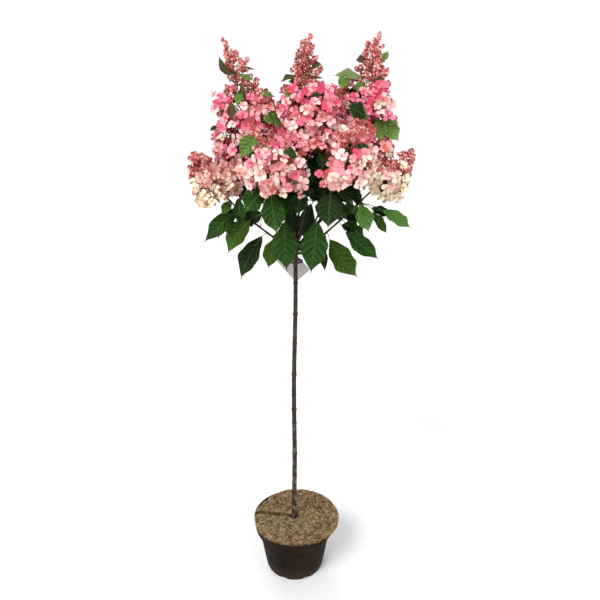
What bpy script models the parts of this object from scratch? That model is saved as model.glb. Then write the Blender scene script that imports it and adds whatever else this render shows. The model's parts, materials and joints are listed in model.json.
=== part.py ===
"""Panicle hydrangea grown as a standard on one clear stem, in a round nursery pot.

The pot stands on z = 0 with its axis on the world Z axis. The stem rises from the compost
through a coir mulch disc and forks into boughs. Each bough carries a leafy shoot, and each
shoot ends in one cone-shaped panicle: sterile florets below, closed buds above.
Everything is in metres, +Z up, and the plant's front faces -Y.
"""

import math
import random

import bmesh
import bpy
from mathutils import Matrix, Vector
from mathutils.bvhtree import BVHTree

# Driving dimensions
GAP = 0.0003            # clearance between neighbouring solids
POT_HEIGHT = 0.176
POT_RIM_RADIUS = 0.131
POT_RIM_HEIGHT = 0.046
POT_BODY_RADIUS = 0.1145
POT_BASE_RADIUS = 0.0945
POT_WALL = 0.0026
POT_FLOOR = 0.0034
POT_LIP = 0.0022
POT_SIDES = 30
DRAIN_HOLES = 8
DRAIN_HOLE_SIZE = (0.022, 0.016, 0.009)
DRAIN_HOLE_HEIGHT = 0.0015
COMPOST_BELOW_RIM = 0.010
DISC_RADIUS = 0.140
DISC_THICKNESS = 0.009
DISC_CENTRE = (0.004, -0.010)
DISC_SIDES = 44
STEM_HOLE_RADIUS = 0.0115
SLIT_SIZE = (0.16, 0.0014, 0.05)
SLIT_TURN = math.radians(171)
STEM_FOOT = (-0.0025, -0.013)
STEM_HEAD = (0.005, -0.008, 1.110)
STEM_FOOT_RADIUS = 0.0078
STEM_HEAD_RADIUS = 0.0058
ROOT_FLARE = 0.0022
FORK_HEIGHT = 1.085     # where the stem swells to carry the boughs
FORK_SWELLING = 0.0030
LABEL_STRAP_HEIGHT = 1.036
STRAP_THICKNESS = 0.0022
STEM_SCARS = (0.225, 0.339, 0.416, 0.526, 0.571, 0.622, 0.689, 0.790, 0.880, 0.975)
LABEL_SIZE = (0.056, 0.086, 0.0009)
LABEL_LOW_CORNER = (0.005, 0.026, 0.973)
LABEL_TURN = math.radians(-41)
LEAF_LENGTH = 0.112
LEAF_THICKNESS = 0.0014
FLORET_RADIUS = 0.029
CORE_SHARE = 0.48       # radius of a panicle's dense core over that of its outline
SPIKE_SHARE = 0.28      # the same for the spike of buds above the florets
BOUGH_SHARE = 0.29      # how far along its course a bough ends and its leafy shoot starts
BOUGH_BUTT = 0.0055     # length of the level butt by which a bough meets the stem
BOUGH_RADII = (0.0042, 0.0030)
SHOOT_RADII = (0.0028, 0.0022)
GOLDEN_ANGLE = math.radians(137.5)
CROWN_CENTRE = (0.02, 0.0)
CROWN_REACH = 0.25      # how far from the crown's centre a leaf of the rule may end
SKIRT_HEIGHT = 1.05     # the lowest that such a leaf may end, and over the open windows
WINDOW_TOP = 1.125
WINDOW_MIDDLE = 0.012
WINDOW_SIDES = (0.055, 0.15)
VIEW_SLOPE = 0.3        # how far the open windows under the crown rise towards the back

# One row for each shoot: name, height at which it leaves the stem, foot and tip of its
# panicle, the panicle's widest radius, the share of its length that carries open florets,
# and how many florets and sprays of buds it carries.
SHOOTS = (
    ("upper_left", 1.098, (-0.112, 0.030, 1.253), (-0.181, 0.000, 1.616), 0.093, 0.62, 26, 11),
    ("upper_front", 1.104, (0.045, -0.060, 1.315), (0.037, -0.060, 1.605), 0.088, 0.60, 23, 9),
    ("upper_right", 1.092, (0.170, 0.030, 1.285), (0.219, 0.010, 1.629), 0.098, 0.60, 27, 10),
    ("upper_back", 1.102, (0.025, 0.140, 1.290), (0.040, 0.175, 1.600), 0.088, 0.58, 23, 9),
    ("lower_left", 1.074, (-0.180, -0.020, 1.216), (-0.266, -0.032, 1.333), 0.069, 0.66, 16, 7),
    ("lower_front_left", 1.080, (-0.040, -0.085, 1.250), (-0.080, -0.235, 1.385), 0.078, 0.82, 20, 3),
    ("lower_front_right", 1.084, (0.108, -0.080, 1.265), (0.160, -0.235, 1.400), 0.080, 0.82, 21, 3),
    ("lower_right", 1.062, (0.218, -0.020, 1.242), (0.315, -0.030, 1.338), 0.064, 0.66, 16, 7),
    ("lower_back_right", 1.070, (0.135, 0.120, 1.245), (0.195, 0.245, 1.385), 0.078, 0.76, 19, 4),
    ("lower_back_left", 1.078, (-0.085, 0.120, 1.240), (-0.150, 0.245, 1.380), 0.078, 0.76, 19, 4),
)

# The leaves that hang free under the crown: shoot, where along its course each springs, its
# tip, and half its width over its length.
HANGING_LEAVES = (
    ("lower_left", 0.90, (-0.244, -0.050, 1.118), 0.24),
    ("lower_left", 0.62, (-0.180, -0.085, 1.090), 0.25),
    ("lower_left", 0.32, (-0.158, -0.050, 1.000), 0.20),
    ("lower_left", 0.98, (-0.210, -0.055, 1.176), 0.25),
    ("lower_left", 0.44, (-0.138, -0.020, 1.141), 0.28),
    ("lower_front_left", 0.78, (-0.118, -0.140, 1.200), 0.30),
    ("lower_front_left", 0.84, (-0.038, -0.165, 1.146), 0.30),
    ("lower_front_left", 0.40, (-0.022, -0.110, 1.043), 0.27),
    ("lower_front_left", 0.34, (-0.073, -0.045, 1.030), 0.24),
    ("lower_front_right", 0.40, (0.044, -0.110, 1.032), 0.27),
    ("lower_front_right", 0.84, (0.085, -0.170, 1.156), 0.30),
    ("lower_right", 0.33, (0.175, -0.060, 1.008), 0.25),
    ("lower_front_right", 0.33, (0.084, -0.030, 1.025), 0.20),
    ("lower_right", 0.50, (0.229, -0.070, 1.064), 0.24),
    ("lower_right", 0.74, (0.205, -0.100, 1.140), 0.22),
    ("lower_right", 0.80, (0.317, -0.050, 1.150), 0.20),
    ("lower_right", 0.70, (0.262, -0.005, 1.122), 0.20),
    ("upper_front", 0.40, (0.050, -0.150, 1.150), 0.30),
    ("upper_back", 0.50, (-0.105, 0.150, 1.150), 0.27),
    ("upper_back", 0.52, (0.150, 0.160, 1.155), 0.27),
    ("lower_back_left", 0.60, (-0.190, 0.140, 1.125), 0.27),
    ("lower_back_right", 0.60, (0.240, 0.140, 1.130), 0.27),
)

# The leaves that stand out between the flowers: shoot, where along its panicle each springs,
# its tip, and half its width over its length.
UPPER_LEAVES = (
    ("upper_left", 0.76, (-0.193, -0.020, 1.578), 0.13),
    ("upper_left", 0.66, (-0.040, -0.010, 1.475), 0.10),
    ("upper_left", 0.36, (-0.229, 0.020, 1.384), 0.18),
    ("upper_left", 0.30, (-0.132, -0.095, 1.320), 0.24),
    ("upper_front", 0.72, (-0.037, -0.060, 1.501), 0.15),
    ("upper_front", 0.70, (0.082, -0.060, 1.511), 0.15),
    ("upper_right", 0.66, (0.100, -0.030, 1.522), 0.22),
    ("upper_right", 0.78, (0.247, 0.000, 1.590), 0.20),
    ("upper_right", 0.36, (0.284, -0.030, 1.362), 0.26),
    ("upper_back", 0.66, (0.110, 0.190, 1.500), 0.17),
    ("upper_back", 0.40, (-0.070, 0.200, 1.420), 0.22),
)


def clear_scene():
    for old in list(bpy.data.objects):
        bpy.data.objects.remove(old, do_unlink=True)
    for old in list(bpy.data.meshes):
        bpy.data.meshes.remove(old)


def make_collection(name, hidden=False):
    made = bpy.data.collections.new(name)
    bpy.context.scene.collection.children.link(made)
    made.hide_render = hidden
    return made


def make_material(name, colour, roughness, metallic=0.0):
    made = bpy.data.materials.new(name)
    made.use_nodes = True
    shader = made.node_tree.nodes["Principled BSDF"]
    shader.inputs["Base Color"].default_value = (*colour, 1.0)
    shader.inputs["Roughness"].default_value = roughness
    shader.inputs["Metallic"].default_value = metallic
    return made


def face_outwards(bm):
    """Turns the faces of one closed shape outwards, however thin or bent it is."""
    bmesh.ops.recalc_face_normals(bm, faces=bm.faces)
    if bm.calc_volume(signed=True) < 0.0:
        bmesh.ops.reverse_faces(bm, faces=bm.faces)
    return bm


def object_from(bm, name, home):
    mesh = bpy.data.meshes.new(name)
    bm.to_mesh(mesh)
    bm.free()
    made = bpy.data.objects.new(name, mesh)
    home.objects.link(made)
    return made


def finish(obj, material):
    obj.data.materials.clear()
    obj.data.materials.append(material)
    obj.data.shade_smooth()
    obj.data.set_sharp_from_angle(angle=math.radians(35))
    return obj


def evaluated_mesh(obj):
    graph = bpy.context.evaluated_depsgraph_get()
    return bpy.data.meshes.new_from_object(obj.evaluated_get(graph))


def apply_all(obj):
    """The object's modifiers made part of its mesh."""
    mesh = evaluated_mesh(obj)
    obj.modifiers.clear()
    obj.data = mesh


def boolean(obj, other, operation, solver="EXACT"):
    cut = obj.modifiers.new(operation.lower(), "BOOLEAN")
    cut.operation = operation
    cut.solver = solver
    cut.object = other
    return cut


def join_collection(obj, pieces):
    """One union of obj with every object in pieces, which are then removed."""
    joined = obj.modifiers.new("join", "BOOLEAN")
    joined.operation = "UNION"
    joined.operand_type = "COLLECTION"
    joined.collection = pieces
    joined.solver = "EXACT"
    apply_all(obj)
    for piece in list(pieces.objects):
        bpy.data.objects.remove(piece, do_unlink=True)
    bpy.data.collections.remove(pieces)


def turned(name, profile, sides, home):
    """A closed profile of (radius, height) points, turned about Z by a Screw modifier."""
    bm = bmesh.new()
    points = [bm.verts.new((r, 0.0, z)) for r, z in profile]
    for a, b in zip(points, points[1:]):
        bm.edges.new((a, b))
    made = object_from(bm, name, home)
    screw = made.modifiers.new("turn", "SCREW")
    screw.steps = sides
    screw.render_steps = sides
    screw.use_merge_vertices = True
    screw.merge_threshold = 0.00005
    screw.use_normal_calculate = True
    apply_all(made)
    bm = bmesh.new()
    bm.from_mesh(made.data)
    bmesh.ops.remove_doubles(bm, verts=bm.verts, dist=0.00005)
    face_outwards(bm)
    bm.to_mesh(made.data)
    bm.free()
    return made


def limb(name, points, radii, sides_beyond_four, home):
    """A tapering limb through points: a bevelled curve with filled caps, made a closed mesh."""
    curve = bpy.data.curves.new(name, "CURVE")
    curve.dimensions = "3D"
    curve.bevel_depth = 1.0
    curve.bevel_resolution = sides_beyond_four
    curve.use_fill_caps = True
    curve.twist_mode = "Z_UP"
    spline = curve.splines.new("POLY")
    spline.points.add(len(points) - 1)
    for point, place, radius in zip(spline.points, points, radii):
        point.co = (*place, 1.0)
        point.radius = radius
    drawn = bpy.data.objects.new(name + "_curve", curve)
    home.objects.link(drawn)
    mesh = evaluated_mesh(drawn)
    matrix = drawn.matrix_world.copy()
    bpy.data.objects.remove(drawn, do_unlink=True)
    bm = bmesh.new()
    bm.from_mesh(mesh)
    bmesh.ops.remove_doubles(bm, verts=bm.verts, dist=0.00001)
    made = object_from(face_outwards(bm), name, home)
    made.matrix_world = matrix
    return made


def between(a, b, share):
    return a + (b - a) * share


def bezier(a, b, c, d, share):
    rest = 1.0 - share
    return (a * rest**3 + b * 3 * rest**2 * share
            + c * 3 * rest * share**2 + d * share**3)


# The pot, its compost and the mulch disc

def pot_profile():
    """Outer face from the middle of the underside up over the rim, then down the inside."""
    foot = POT_BASE_RADIUS - 0.007
    rim_foot = POT_HEIGHT - POT_RIM_HEIGHT
    inner_rim = POT_RIM_RADIUS - 2.2 * POT_WALL
    return (
        (0.0, 0.0),
        (foot, 0.0),
        (POT_BASE_RADIUS - 0.002, 0.0022),
        (POT_BASE_RADIUS, 0.008),
        (POT_BODY_RADIUS, rim_foot),
        (POT_RIM_RADIUS - 0.0035, rim_foot + 0.011),
        (POT_RIM_RADIUS, POT_HEIGHT - POT_LIP),
        (POT_RIM_RADIUS - POT_LIP, POT_HEIGHT),
        (inner_rim, POT_HEIGHT),
        (POT_BODY_RADIUS - POT_WALL, rim_foot - 0.004),
        (POT_BASE_RADIUS - POT_WALL, 0.010),
        (foot - POT_WALL, POT_FLOOR),
        (0.0, POT_FLOOR),
    )


def make_pot(home, cutters, material):
    pot = turned("pot", pot_profile(), POT_SIDES, home)
    for i in range(DRAIN_HOLES):
        angle = math.tau * (i + 0.5) / DRAIN_HOLES
        bm = bmesh.new()
        bmesh.ops.create_cube(bm, size=1.0)
        cutter = object_from(bm, f"drain_cutter_{i}", cutters)
        cutter.data.transform(Matrix.Diagonal((*DRAIN_HOLE_SIZE, 1.0)))
        cutter.matrix_world = (Matrix.Rotation(angle, 4, "Z")
                               @ Matrix.Translation((POT_BASE_RADIUS, 0.0, DRAIN_HOLE_HEIGHT)))
        cutter.display_type = "WIRE"
        cutter.hide_render = True
        boolean(pot, cutter, "DIFFERENCE")
    apply_all(pot)
    return finish(pot, material)


def make_compost(home, material):
    top = POT_HEIGHT - COMPOST_BELOW_RIM
    rim_foot = POT_HEIGHT - POT_RIM_HEIGHT
    body = POT_BODY_RADIUS - POT_WALL
    base = POT_BASE_RADIUS - POT_WALL
    upper = body + (top - rim_foot + 0.004) / (POT_RIM_HEIGHT + 0.004) * (
        POT_RIM_RADIUS - 2.2 * POT_WALL - body)
    profile = (
        (0.0, POT_FLOOR + GAP),
        (base - 0.0078, POT_FLOOR + GAP),
        (base - 2 * GAP, 0.0106),
        (body - 2 * GAP, rim_foot - 0.004),
        (upper - 2 * GAP, top),
        (0.0, top),
    )
    return finish(turned("compost", profile, POT_SIDES, home), material)


def make_disc(home, cutters, material):
    """Coir mulch disc with a hole for the stem and the slit it is fitted through."""
    bottom = POT_HEIGHT + GAP
    rng = random.Random(11)
    bm = bmesh.new()
    bmesh.ops.create_cone(bm, segments=DISC_SIDES, radius1=DISC_RADIUS, radius2=DISC_RADIUS,
                          depth=DISC_THICKNESS, cap_ends=True)
    for i in range(DISC_SIDES):
        edge = 1.0 + rng.uniform(-0.012, 0.004)
        for vert in bm.verts:
            turn = math.atan2(vert.co.y, vert.co.x) % math.tau
            if abs(turn - math.tau * i / DISC_SIDES) < 0.01:
                vert.co.x *= edge
                vert.co.y *= edge
    disc = object_from(bm, "mulch_disc", home)
    disc.data.transform(Matrix.Translation((*DISC_CENTRE, bottom + DISC_THICKNESS / 2)))
    foot = Vector((*STEM_FOOT, 0.0))
    bm = bmesh.new()
    bmesh.ops.create_cone(bm, segments=12, radius1=STEM_HOLE_RADIUS, radius2=STEM_HOLE_RADIUS,
                          depth=0.05, cap_ends=True)
    hole = object_from(bm, "stem_hole_cutter", cutters)
    hole.location = foot + Vector((0, 0, bottom))
    bm = bmesh.new()
    bmesh.ops.create_cube(bm, size=1.0)
    slit = object_from(bm, "slit_cutter", cutters)
    slit.data.transform(Matrix.Diagonal((*SLIT_SIZE, 1.0)))
    slit.matrix_world = (Matrix.Translation(foot + Vector((0, 0, bottom)))
                         @ Matrix.Rotation(SLIT_TURN, 4, "Z")
                         @ Matrix.Translation((0.085, 0, 0)))
    for cutter in (hole, slit):
        cutter.display_type = "WIRE"
        cutter.hide_render = True
        boolean(disc, cutter, "DIFFERENCE")
    apply_all(disc)
    return finish(disc, material)


# The stem and the boughs

def stem_point(height):
    """The stem's centre line: nearly upright, with the slight sway of a young stem."""
    foot = POT_HEIGHT - COMPOST_BELOW_RIM + GAP
    share = (height - foot) / (STEM_HEAD[2] - foot)
    sway = math.sin(math.pi * share)
    x = between(STEM_FOOT[0], STEM_HEAD[0], share) + 0.0022 * sway * math.sin(share * 9.0)
    y = between(STEM_FOOT[1], STEM_HEAD[1], share) + 0.0025 * sway * math.sin(share * 7.0)
    return Vector((x, y, height))


def stem_radius(height):
    foot = POT_HEIGHT - COMPOST_BELOW_RIM + GAP
    share = (height - foot) / (STEM_HEAD[2] - foot)
    radius = between(STEM_FOOT_RADIUS, STEM_HEAD_RADIUS, share)
    flare = ROOT_FLARE * max(0.0, 1.0 - share / 0.04) ** 2
    head = FORK_SWELLING * math.exp(-((height - FORK_HEIGHT) / 0.028) ** 2)
    return radius + flare + head


def make_stem(home, material):
    foot = POT_HEIGHT - COMPOST_BELOW_RIM + GAP
    heights = [foot, foot + 0.012, foot + 0.030]
    heights += [FORK_HEIGHT + step for step in (-0.065, -0.040, -0.020, 0.0, 0.015)]
    heights.append(STEM_HEAD[2])
    rings = [(height, stem_radius(height)) for height in heights]
    for scar in STEM_SCARS:
        rings += [(scar - 0.009, stem_radius(scar)), (scar, stem_radius(scar) + 0.0011),
                  (scar + 0.009, stem_radius(scar))]
    rings.sort()
    points = [stem_point(height) for height, _ in rings]
    return finish(limb("stem", points, [radius for _, radius in rings], 1, home), material)


def make_label(home, material):
    """A blank card hung corner down behind the stem by a strap looped round it."""
    width, length, thick = LABEL_SIZE
    bm = bmesh.new()
    bmesh.ops.create_cube(bm, size=1.0)
    label = object_from(bm, "label", home)
    label.data.transform(Matrix.Translation((width / 2, 0.0, length / 2))
                         @ Matrix.Diagonal((width, thick, length, 1.0)))
    label.data.transform(Matrix.Translation(LABEL_LOW_CORNER)
                         @ Matrix.Rotation(LABEL_TURN, 4, "Y"))
    stem = stem_point(LABEL_STRAP_HEIGHT)
    front = stem.y - stem_radius(LABEL_STRAP_HEIGHT) - GAP - STRAP_THICKNESS / 2
    radius = (LABEL_LOW_CORNER[1] - front) / 2
    profile = [(radius + STRAP_THICKNESS / 2 * math.cos(turn), 0.0030 * math.sin(turn))
               for turn in (math.tau * i / 4 for i in range(5))]
    strap = turned("strap", profile, 16, home)
    strap.data.transform(Matrix.Translation((stem.x, front + radius, LABEL_STRAP_HEIGHT)))
    boolean(label, strap, "UNION")
    apply_all(label)
    bpy.data.objects.remove(strap, do_unlink=True)
    return finish(label, material)


def bough_course(shoot):
    """Start, first leg, second leg and end of the line from the stem to the panicle's foot."""
    leave, foot, tip = shoot[1], Vector(shoot[2]), Vector(shoot[3])
    root = stem_point(leave)
    outward = Vector((foot.x - root.x, foot.y - root.y, 0.0)).normalized()
    start = root + outward * (stem_radius(leave) + BOUGH_BUTT)
    climb = (foot - start).normalized()
    first = start + (climb + outward * 0.15).normalized() * (foot - start).length * 0.4
    second = foot - ((tip - foot).normalized() + climb).normalized() * (foot - start).length * 0.35
    return start, first, second, foot, tip


def shoot_point(course, share):
    return bezier(*course[:4], share)


def make_bough(shoot, space, home, material):
    """A bough whose level butt stops a hair clear of the stem that it grows from."""
    course = bough_course(shoot)
    steps = 6
    line = [shoot_point(course, BOUGH_SHARE * i / steps) for i in range(steps + 1)]
    root = stem_point(shoot[1])
    level = Vector((line[0].x - root.x, line[0].y - root.y, 0.0)).normalized()
    radii = [between(*BOUGH_RADII, i / (steps + 1)) for i in range(steps + 2)]
    for nudge in range(40):
        butt = line[0] - level * (BOUGH_BUTT + 0.0012 - 0.0001 * nudge)
        bough = limb("bough_" + shoot[0], [butt] + line, radii, 1, home)
        if not space.meets(bough, GAP * 0.8):
            break
        bpy.data.objects.remove(bough, do_unlink=True)
    return finish(bough, material)


# Leaves, florets and buds

def frame_of(direction, roll):
    """A rotation whose Z runs along direction, turned about it by roll."""
    return direction.to_track_quat("Z", "X").to_matrix() @ Matrix.Rotation(roll, 3, "Z")


def leaf_mesh(root, tip, face, slimness, sag):
    """A pointed leaf from root to tip: a sphere of four meridians drawn along its midrib,
    which is arched upwards by sag. The leaf is folded a little along the midrib."""
    bm = bmesh.new()
    bmesh.ops.create_uvsphere(bm, u_segments=4, v_segments=4, radius=1.0)
    reach = (0.0, 0.24, 0.55, 0.82, 1.0)
    width = (0.0, 0.30, 1.0, 0.62, 0.0)
    line = tip - root
    length = line.length
    side = line.cross(face).normalized()
    normal = side.cross(line).normalized()
    for vert in bm.verts:
        ring = round((1.0 - math.acos(max(-1.0, min(1.0, vert.co.z))) / math.pi) * 4)
        turn = math.atan2(vert.co.y, vert.co.x)
        across, above = round(math.cos(turn)), round(math.sin(turn))
        if ring in (0, 4):
            across = above = 0
        half = slimness * length * width[ring]
        arch = sag * length * math.sin(math.pi * reach[ring])
        vert.co = (root + line * reach[ring] + side * across * half
                   + normal * (arch + 0.20 * half * abs(across) + above * LEAF_THICKNESS / 2))
    return face_outwards(bm)


def floret_mesh(centre, root, direction, roll, radius):
    """A four-petalled floret over its stalk: a double cone whose rim follows the petals."""
    bm = bmesh.new()
    bmesh.ops.create_uvsphere(bm, u_segments=8, v_segments=2, radius=1.0)
    turn = frame_of(direction, roll)
    for vert in bm.verts:
        if vert.co.z < -0.5:
            vert.co = root
            continue
        if vert.co.z > 0.5:
            local = Vector((0, 0, 0.10 * radius))
        else:
            angle = math.atan2(vert.co.y, vert.co.x)
            petal = round(math.degrees(angle) / 45.0) % 2 == 0
            local = Vector((math.cos(angle), math.sin(angle), 0.0)) * radius * (1.0 if petal else 0.60)
            local.z = (0.22 if petal else 0.0) * radius
        vert.co = centre + turn @ local
    return face_outwards(bm)


def spray_mesh(root, direction, length, radius):
    """A side spray of closed buds: a club shape with its foot on the panicle's axis."""
    bm = bmesh.new()
    bmesh.ops.create_uvsphere(bm, u_segments=4, v_segments=3, radius=1.0)
    turn = frame_of(direction, 0.4)
    for vert in bm.verts:
        ring = round((1.0 - math.acos(max(-1.0, min(1.0, vert.co.z))) / math.pi) * 3)
        reach = (0.0, 0.42, 0.80, 1.0)[ring] * length
        wide = (0.0, 0.45, 1.0, 0.0)[ring] * radius
        angle = math.atan2(vert.co.y, vert.co.x)
        vert.co = root + turn @ Vector((wide * math.cos(angle), wide * math.sin(angle), reach))
    return face_outwards(bm)


class Space:
    """Keeps the surfaces of every node, so that nothing new is let into another's space."""

    def __init__(self):
        self.trees = {}
        self.pieces = {}

    def keep(self, obj):
        bm = bmesh.new()
        bm.from_mesh(obj.data)
        bm.transform(obj.matrix_world)
        self.trees[obj.name] = [BVHTree.FromBMesh(bm)]
        bm.free()
        return obj

    def tree_of_grown(self, bm, clearance):
        bm.normal_update()
        grown = bm.copy()
        for vert, near in zip(grown.verts, bm.verts):
            vert.co = near.co + near.normal * clearance
        tree = BVHTree.FromBMesh(grown)
        grown.free()
        return tree

    def meets(self, obj, clearance):
        """Whether an object, grown by the clearance, meets any surface kept so far."""
        bm = bmesh.new()
        bm.from_mesh(obj.data)
        tree = self.tree_of_grown(bm, clearance)
        bm.free()
        return any(tree.overlap(surface) for kept in self.trees.values() for surface in kept)

    def place(self, bm, owner, clearance=0.0012):
        """Adds a shape to its owner's pieces, unless it would meet another node's surface
        when grown a little. Tells whether there was room for it."""
        tree = self.tree_of_grown(bm, clearance)
        for name, kept in self.trees.items():
            if name != owner and any(tree.overlap(surface) for surface in kept):
                bm.free()
                return False
        if owner not in self.pieces:
            self.pieces[owner] = make_collection("pieces_of_" + owner)
        self.trees[owner].append(BVHTree.FromBMesh(bm))
        object_from(bm, "piece", self.pieces[owner])
        return True

    def join(self, obj):
        """One union of the node's first solid with all its pieces."""
        join_collection(obj, self.pieces.pop(obj.name))
        return obj


def panicle_radius(share, widest):
    """The panicle's outer radius: a round foot, a stout middle and an even taper above."""
    if share < 0.15:
        return widest * (0.62 + 0.38 * math.sin(share / 0.15 * math.pi / 2))
    if share < 0.45:
        return widest
    return widest * ((1.0 - share) / 0.55) ** 0.75


def panicle_frame(shoot):
    """Foot, unit axis, length and turn of one panicle."""
    foot, tip = Vector(shoot[2]), Vector(shoot[3])
    axis = (tip - foot).normalized()
    return foot, axis, (tip - foot).length, frame_of(axis, 0.0)


def panicle_bend(shoot, share):
    """How far the axis bows from the straight line: it leaves its foot upright, then leans."""
    foot, tip = Vector(shoot[2]), Vector(shoot[3])
    lean = Vector((tip.x - foot.x, tip.y - foot.y, 0.0))
    bow = -0.20 if tip.z > 1.5 else 0.0
    return lean * bow * 4.0 * share * (1.0 - share)


def panicle_axis(shoot, share):
    return between(Vector(shoot[2]), Vector(shoot[3]), share) + panicle_bend(shoot, share)


def make_core(shoot, home):
    """The dense heart of a panicle with its axis, which florets and buds stand out of."""
    foot, axis, length, turn = panicle_frame(shoot)
    widest, end = shoot[4:6]
    profile = [(0.0, 0.0), (0.0026, 0.0), (0.0026, 0.030)]
    for share in (0.07, 0.20, 0.42, end):
        profile.append((CORE_SHARE * panicle_radius(share, widest), share))
    for share in (end + 0.04, between(end, 1.0, 0.55)):
        profile.append((SPIKE_SHARE * panicle_radius(share, widest), share))
    profile += [(0.0014, 0.98), (0.0, 1.0)]
    core = turned("panicle_" + shoot[0], profile, 7, home)
    for vert in core.data.vertices:
        share = vert.co.z
        offset = turn @ Vector((vert.co.x, vert.co.y, 0.0))
        vert.co = foot + axis * share * length + panicle_bend(shoot, share) + offset
    return core


def dress_panicle(shoot, index, space):
    """Florets spiral up the core's sides, then come the sprays of buds."""
    name = "panicle_" + shoot[0]
    axis, length, turn = panicle_frame(shoot)[1:]
    widest, end, florets, sprays = shoot[4:]
    rng = random.Random(100 + index)

    def outward(around):
        return turn @ Vector((math.cos(around), math.sin(around), 0.0))

    for i in range(florets):
        share = 0.02 + (end - 0.02) * (i + 0.5) / florets
        out = outward(i * GOLDEN_ANGLE + rng.uniform(-0.2, 0.2))
        facing = (out + axis * between(-0.25, 0.55, share / end)).normalized()
        radius = panicle_radius(share, widest)
        outer = radius * rng.uniform(0.90, 1.02) - 0.2 * FLORET_RADIUS
        middle = panicle_axis(shoot, share)
        root = between(panicle_axis(shoot, 0.3), middle + out * CORE_SHARE * radius, 0.8)
        space.place(floret_mesh(middle + out * outer, root, facing, rng.uniform(0, math.tau),
                                FLORET_RADIUS * rng.uniform(0.88, 1.08)), name)
    for i in range(sprays):
        share = between(end + 0.01, 0.94, i / (sprays - 1))
        out = outward(i * GOLDEN_ANGLE + 0.7)
        reach = 0.86 * panicle_radius(share, widest) + 0.003
        space.place(spray_mesh(panicle_axis(shoot, share - 0.02), (out + axis * 0.6).normalized(),
                               reach * 1.10, 0.0070 + 0.15 * reach), name)
    space.place(spray_mesh(panicle_axis(shoot, 0.90), axis, 0.10 * length + 0.004, 0.0075), name)


def add_upper_leaves(space):
    for owner, share, tip, slimness in UPPER_LEAVES:
        shoot = next(row for row in SHOOTS if row[0] == owner)
        root = panicle_axis(shoot, share)
        face = Vector((0.0, -1.0 if tip[1] < 0.1 else 1.0, 0.6))
        space.place(leaf_mesh(root, Vector(tip), face, slimness, 0.06), "panicle_" + owner)


def make_shoot_stem(shoot, home):
    """The bare shoot that leads from the bough's end to the panicle's foot."""
    course = bough_course(shoot)
    steps = 7
    shares = [between(BOUGH_SHARE, 1.0, i / steps) for i in range(steps + 1)]
    points = [shoot_point(course, share) for share in shares]
    points[0] += (points[1] - points[0]).normalized() * GAP
    onward = (course[4] - course[3]).normalized()
    points[-1:] = [course[3] - onward * 0.006, course[3] - onward * GAP * 1.5]
    radii = [between(*SHOOT_RADII, i / steps) for i in range(steps + 2)]
    return limb("leaves_" + shoot[0], points, radii, 0, home)


def in_bounds(tip):
    """Whether a leaf of the rule may end here: inside the crown's reach, above its skirt, and
    clear of the two open windows beside the stem."""
    away = math.hypot(tip.x - CROWN_CENTRE[0], tip.y - CROWN_CENTRE[1])
    side = abs(tip.x - WINDOW_MIDDLE)
    low = WINDOW_TOP if WINDOW_SIDES[0] < side < WINDOW_SIDES[1] else SKIRT_HEIGHT
    return away < CROWN_REACH and tip.z > low + VIEW_SLOPE * max(0.0, tip.y)


def add_leaf(shoot, share, tip, face, slimness, rng, space):
    root = shoot_point(bough_course(shoot), share)
    root += Vector((rng.uniform(-1, 1), rng.uniform(-1, 1), 0.0)) * 0.0007
    return space.place(leaf_mesh(root, tip, face, slimness, 0.07), "leaves_" + shoot[0])


def add_hanging_leaves(space):
    rng = random.Random(5)
    for owner, share, tip, slimness in HANGING_LEAVES:
        shoot = next(row for row in SHOOTS if row[0] == owner)
        face = Vector((0.0, -1.0 if tip[1] < 0.1 else 1.0, 0.5))
        add_leaf(shoot, share, Vector(tip), face, slimness, rng, space)


def dress_shoot(shoot, index, space):
    """Adds the leaves of the rule, pair over pair, each pair a quarter turn from the last."""
    course = bough_course(shoot)
    rng = random.Random(300 + index)
    up = Vector((0.0, 0.0, 1.0))
    hanging = sum(1 for row in HANGING_LEAVES if row[0] == shoot[0])
    pairs = 3 if hanging > 3 else 4
    for pair in range(pairs):
        share = between(BOUGH_SHARE, 1.0, 0.15 + 0.77 * pair / (pairs - 1))
        place = shoot_point(course, share)
        ahead = (shoot_point(course, share + 0.02) - shoot_point(course, share - 0.02)).normalized()
        side = ahead.cross(up).normalized()
        lift = side.cross(ahead).normalized()
        away = Vector((place.x - STEM_HEAD[0], place.y - STEM_HEAD[1], 0.0)).normalized()
        for half in (0, 1):
            turn = math.radians(90 * (pair % 2) + 180 * half + 20 * (index % 3)) + rng.uniform(-0.2, 0.2)
            out = side * math.cos(turn) + lift * math.sin(turn)
            for attempt in range(6):
                heading = out + away * (0.30 + 0.2 * attempt) + ahead * 0.1
                heading = (heading.normalized() - up * rng.uniform(0.25, 0.75)).normalized()
                tip = place + heading * LEAF_LENGTH * rng.uniform(0.84, 1.10) * (1.0 - 0.07 * attempt)
                outer = Vector((tip.x - STEM_HEAD[0], tip.y - STEM_HEAD[1], 0.0)).normalized()
                twist = Vector((rng.uniform(-0.5, 0.5), rng.uniform(-0.5, 0.5), 0.0))
                face = up * 0.6 + outer * 0.7 + twist
                slimness = rng.uniform(0.25, 0.30)
                if in_bounds(tip) and add_leaf(shoot, share, tip, face, slimness, rng, space):
                    break


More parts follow.
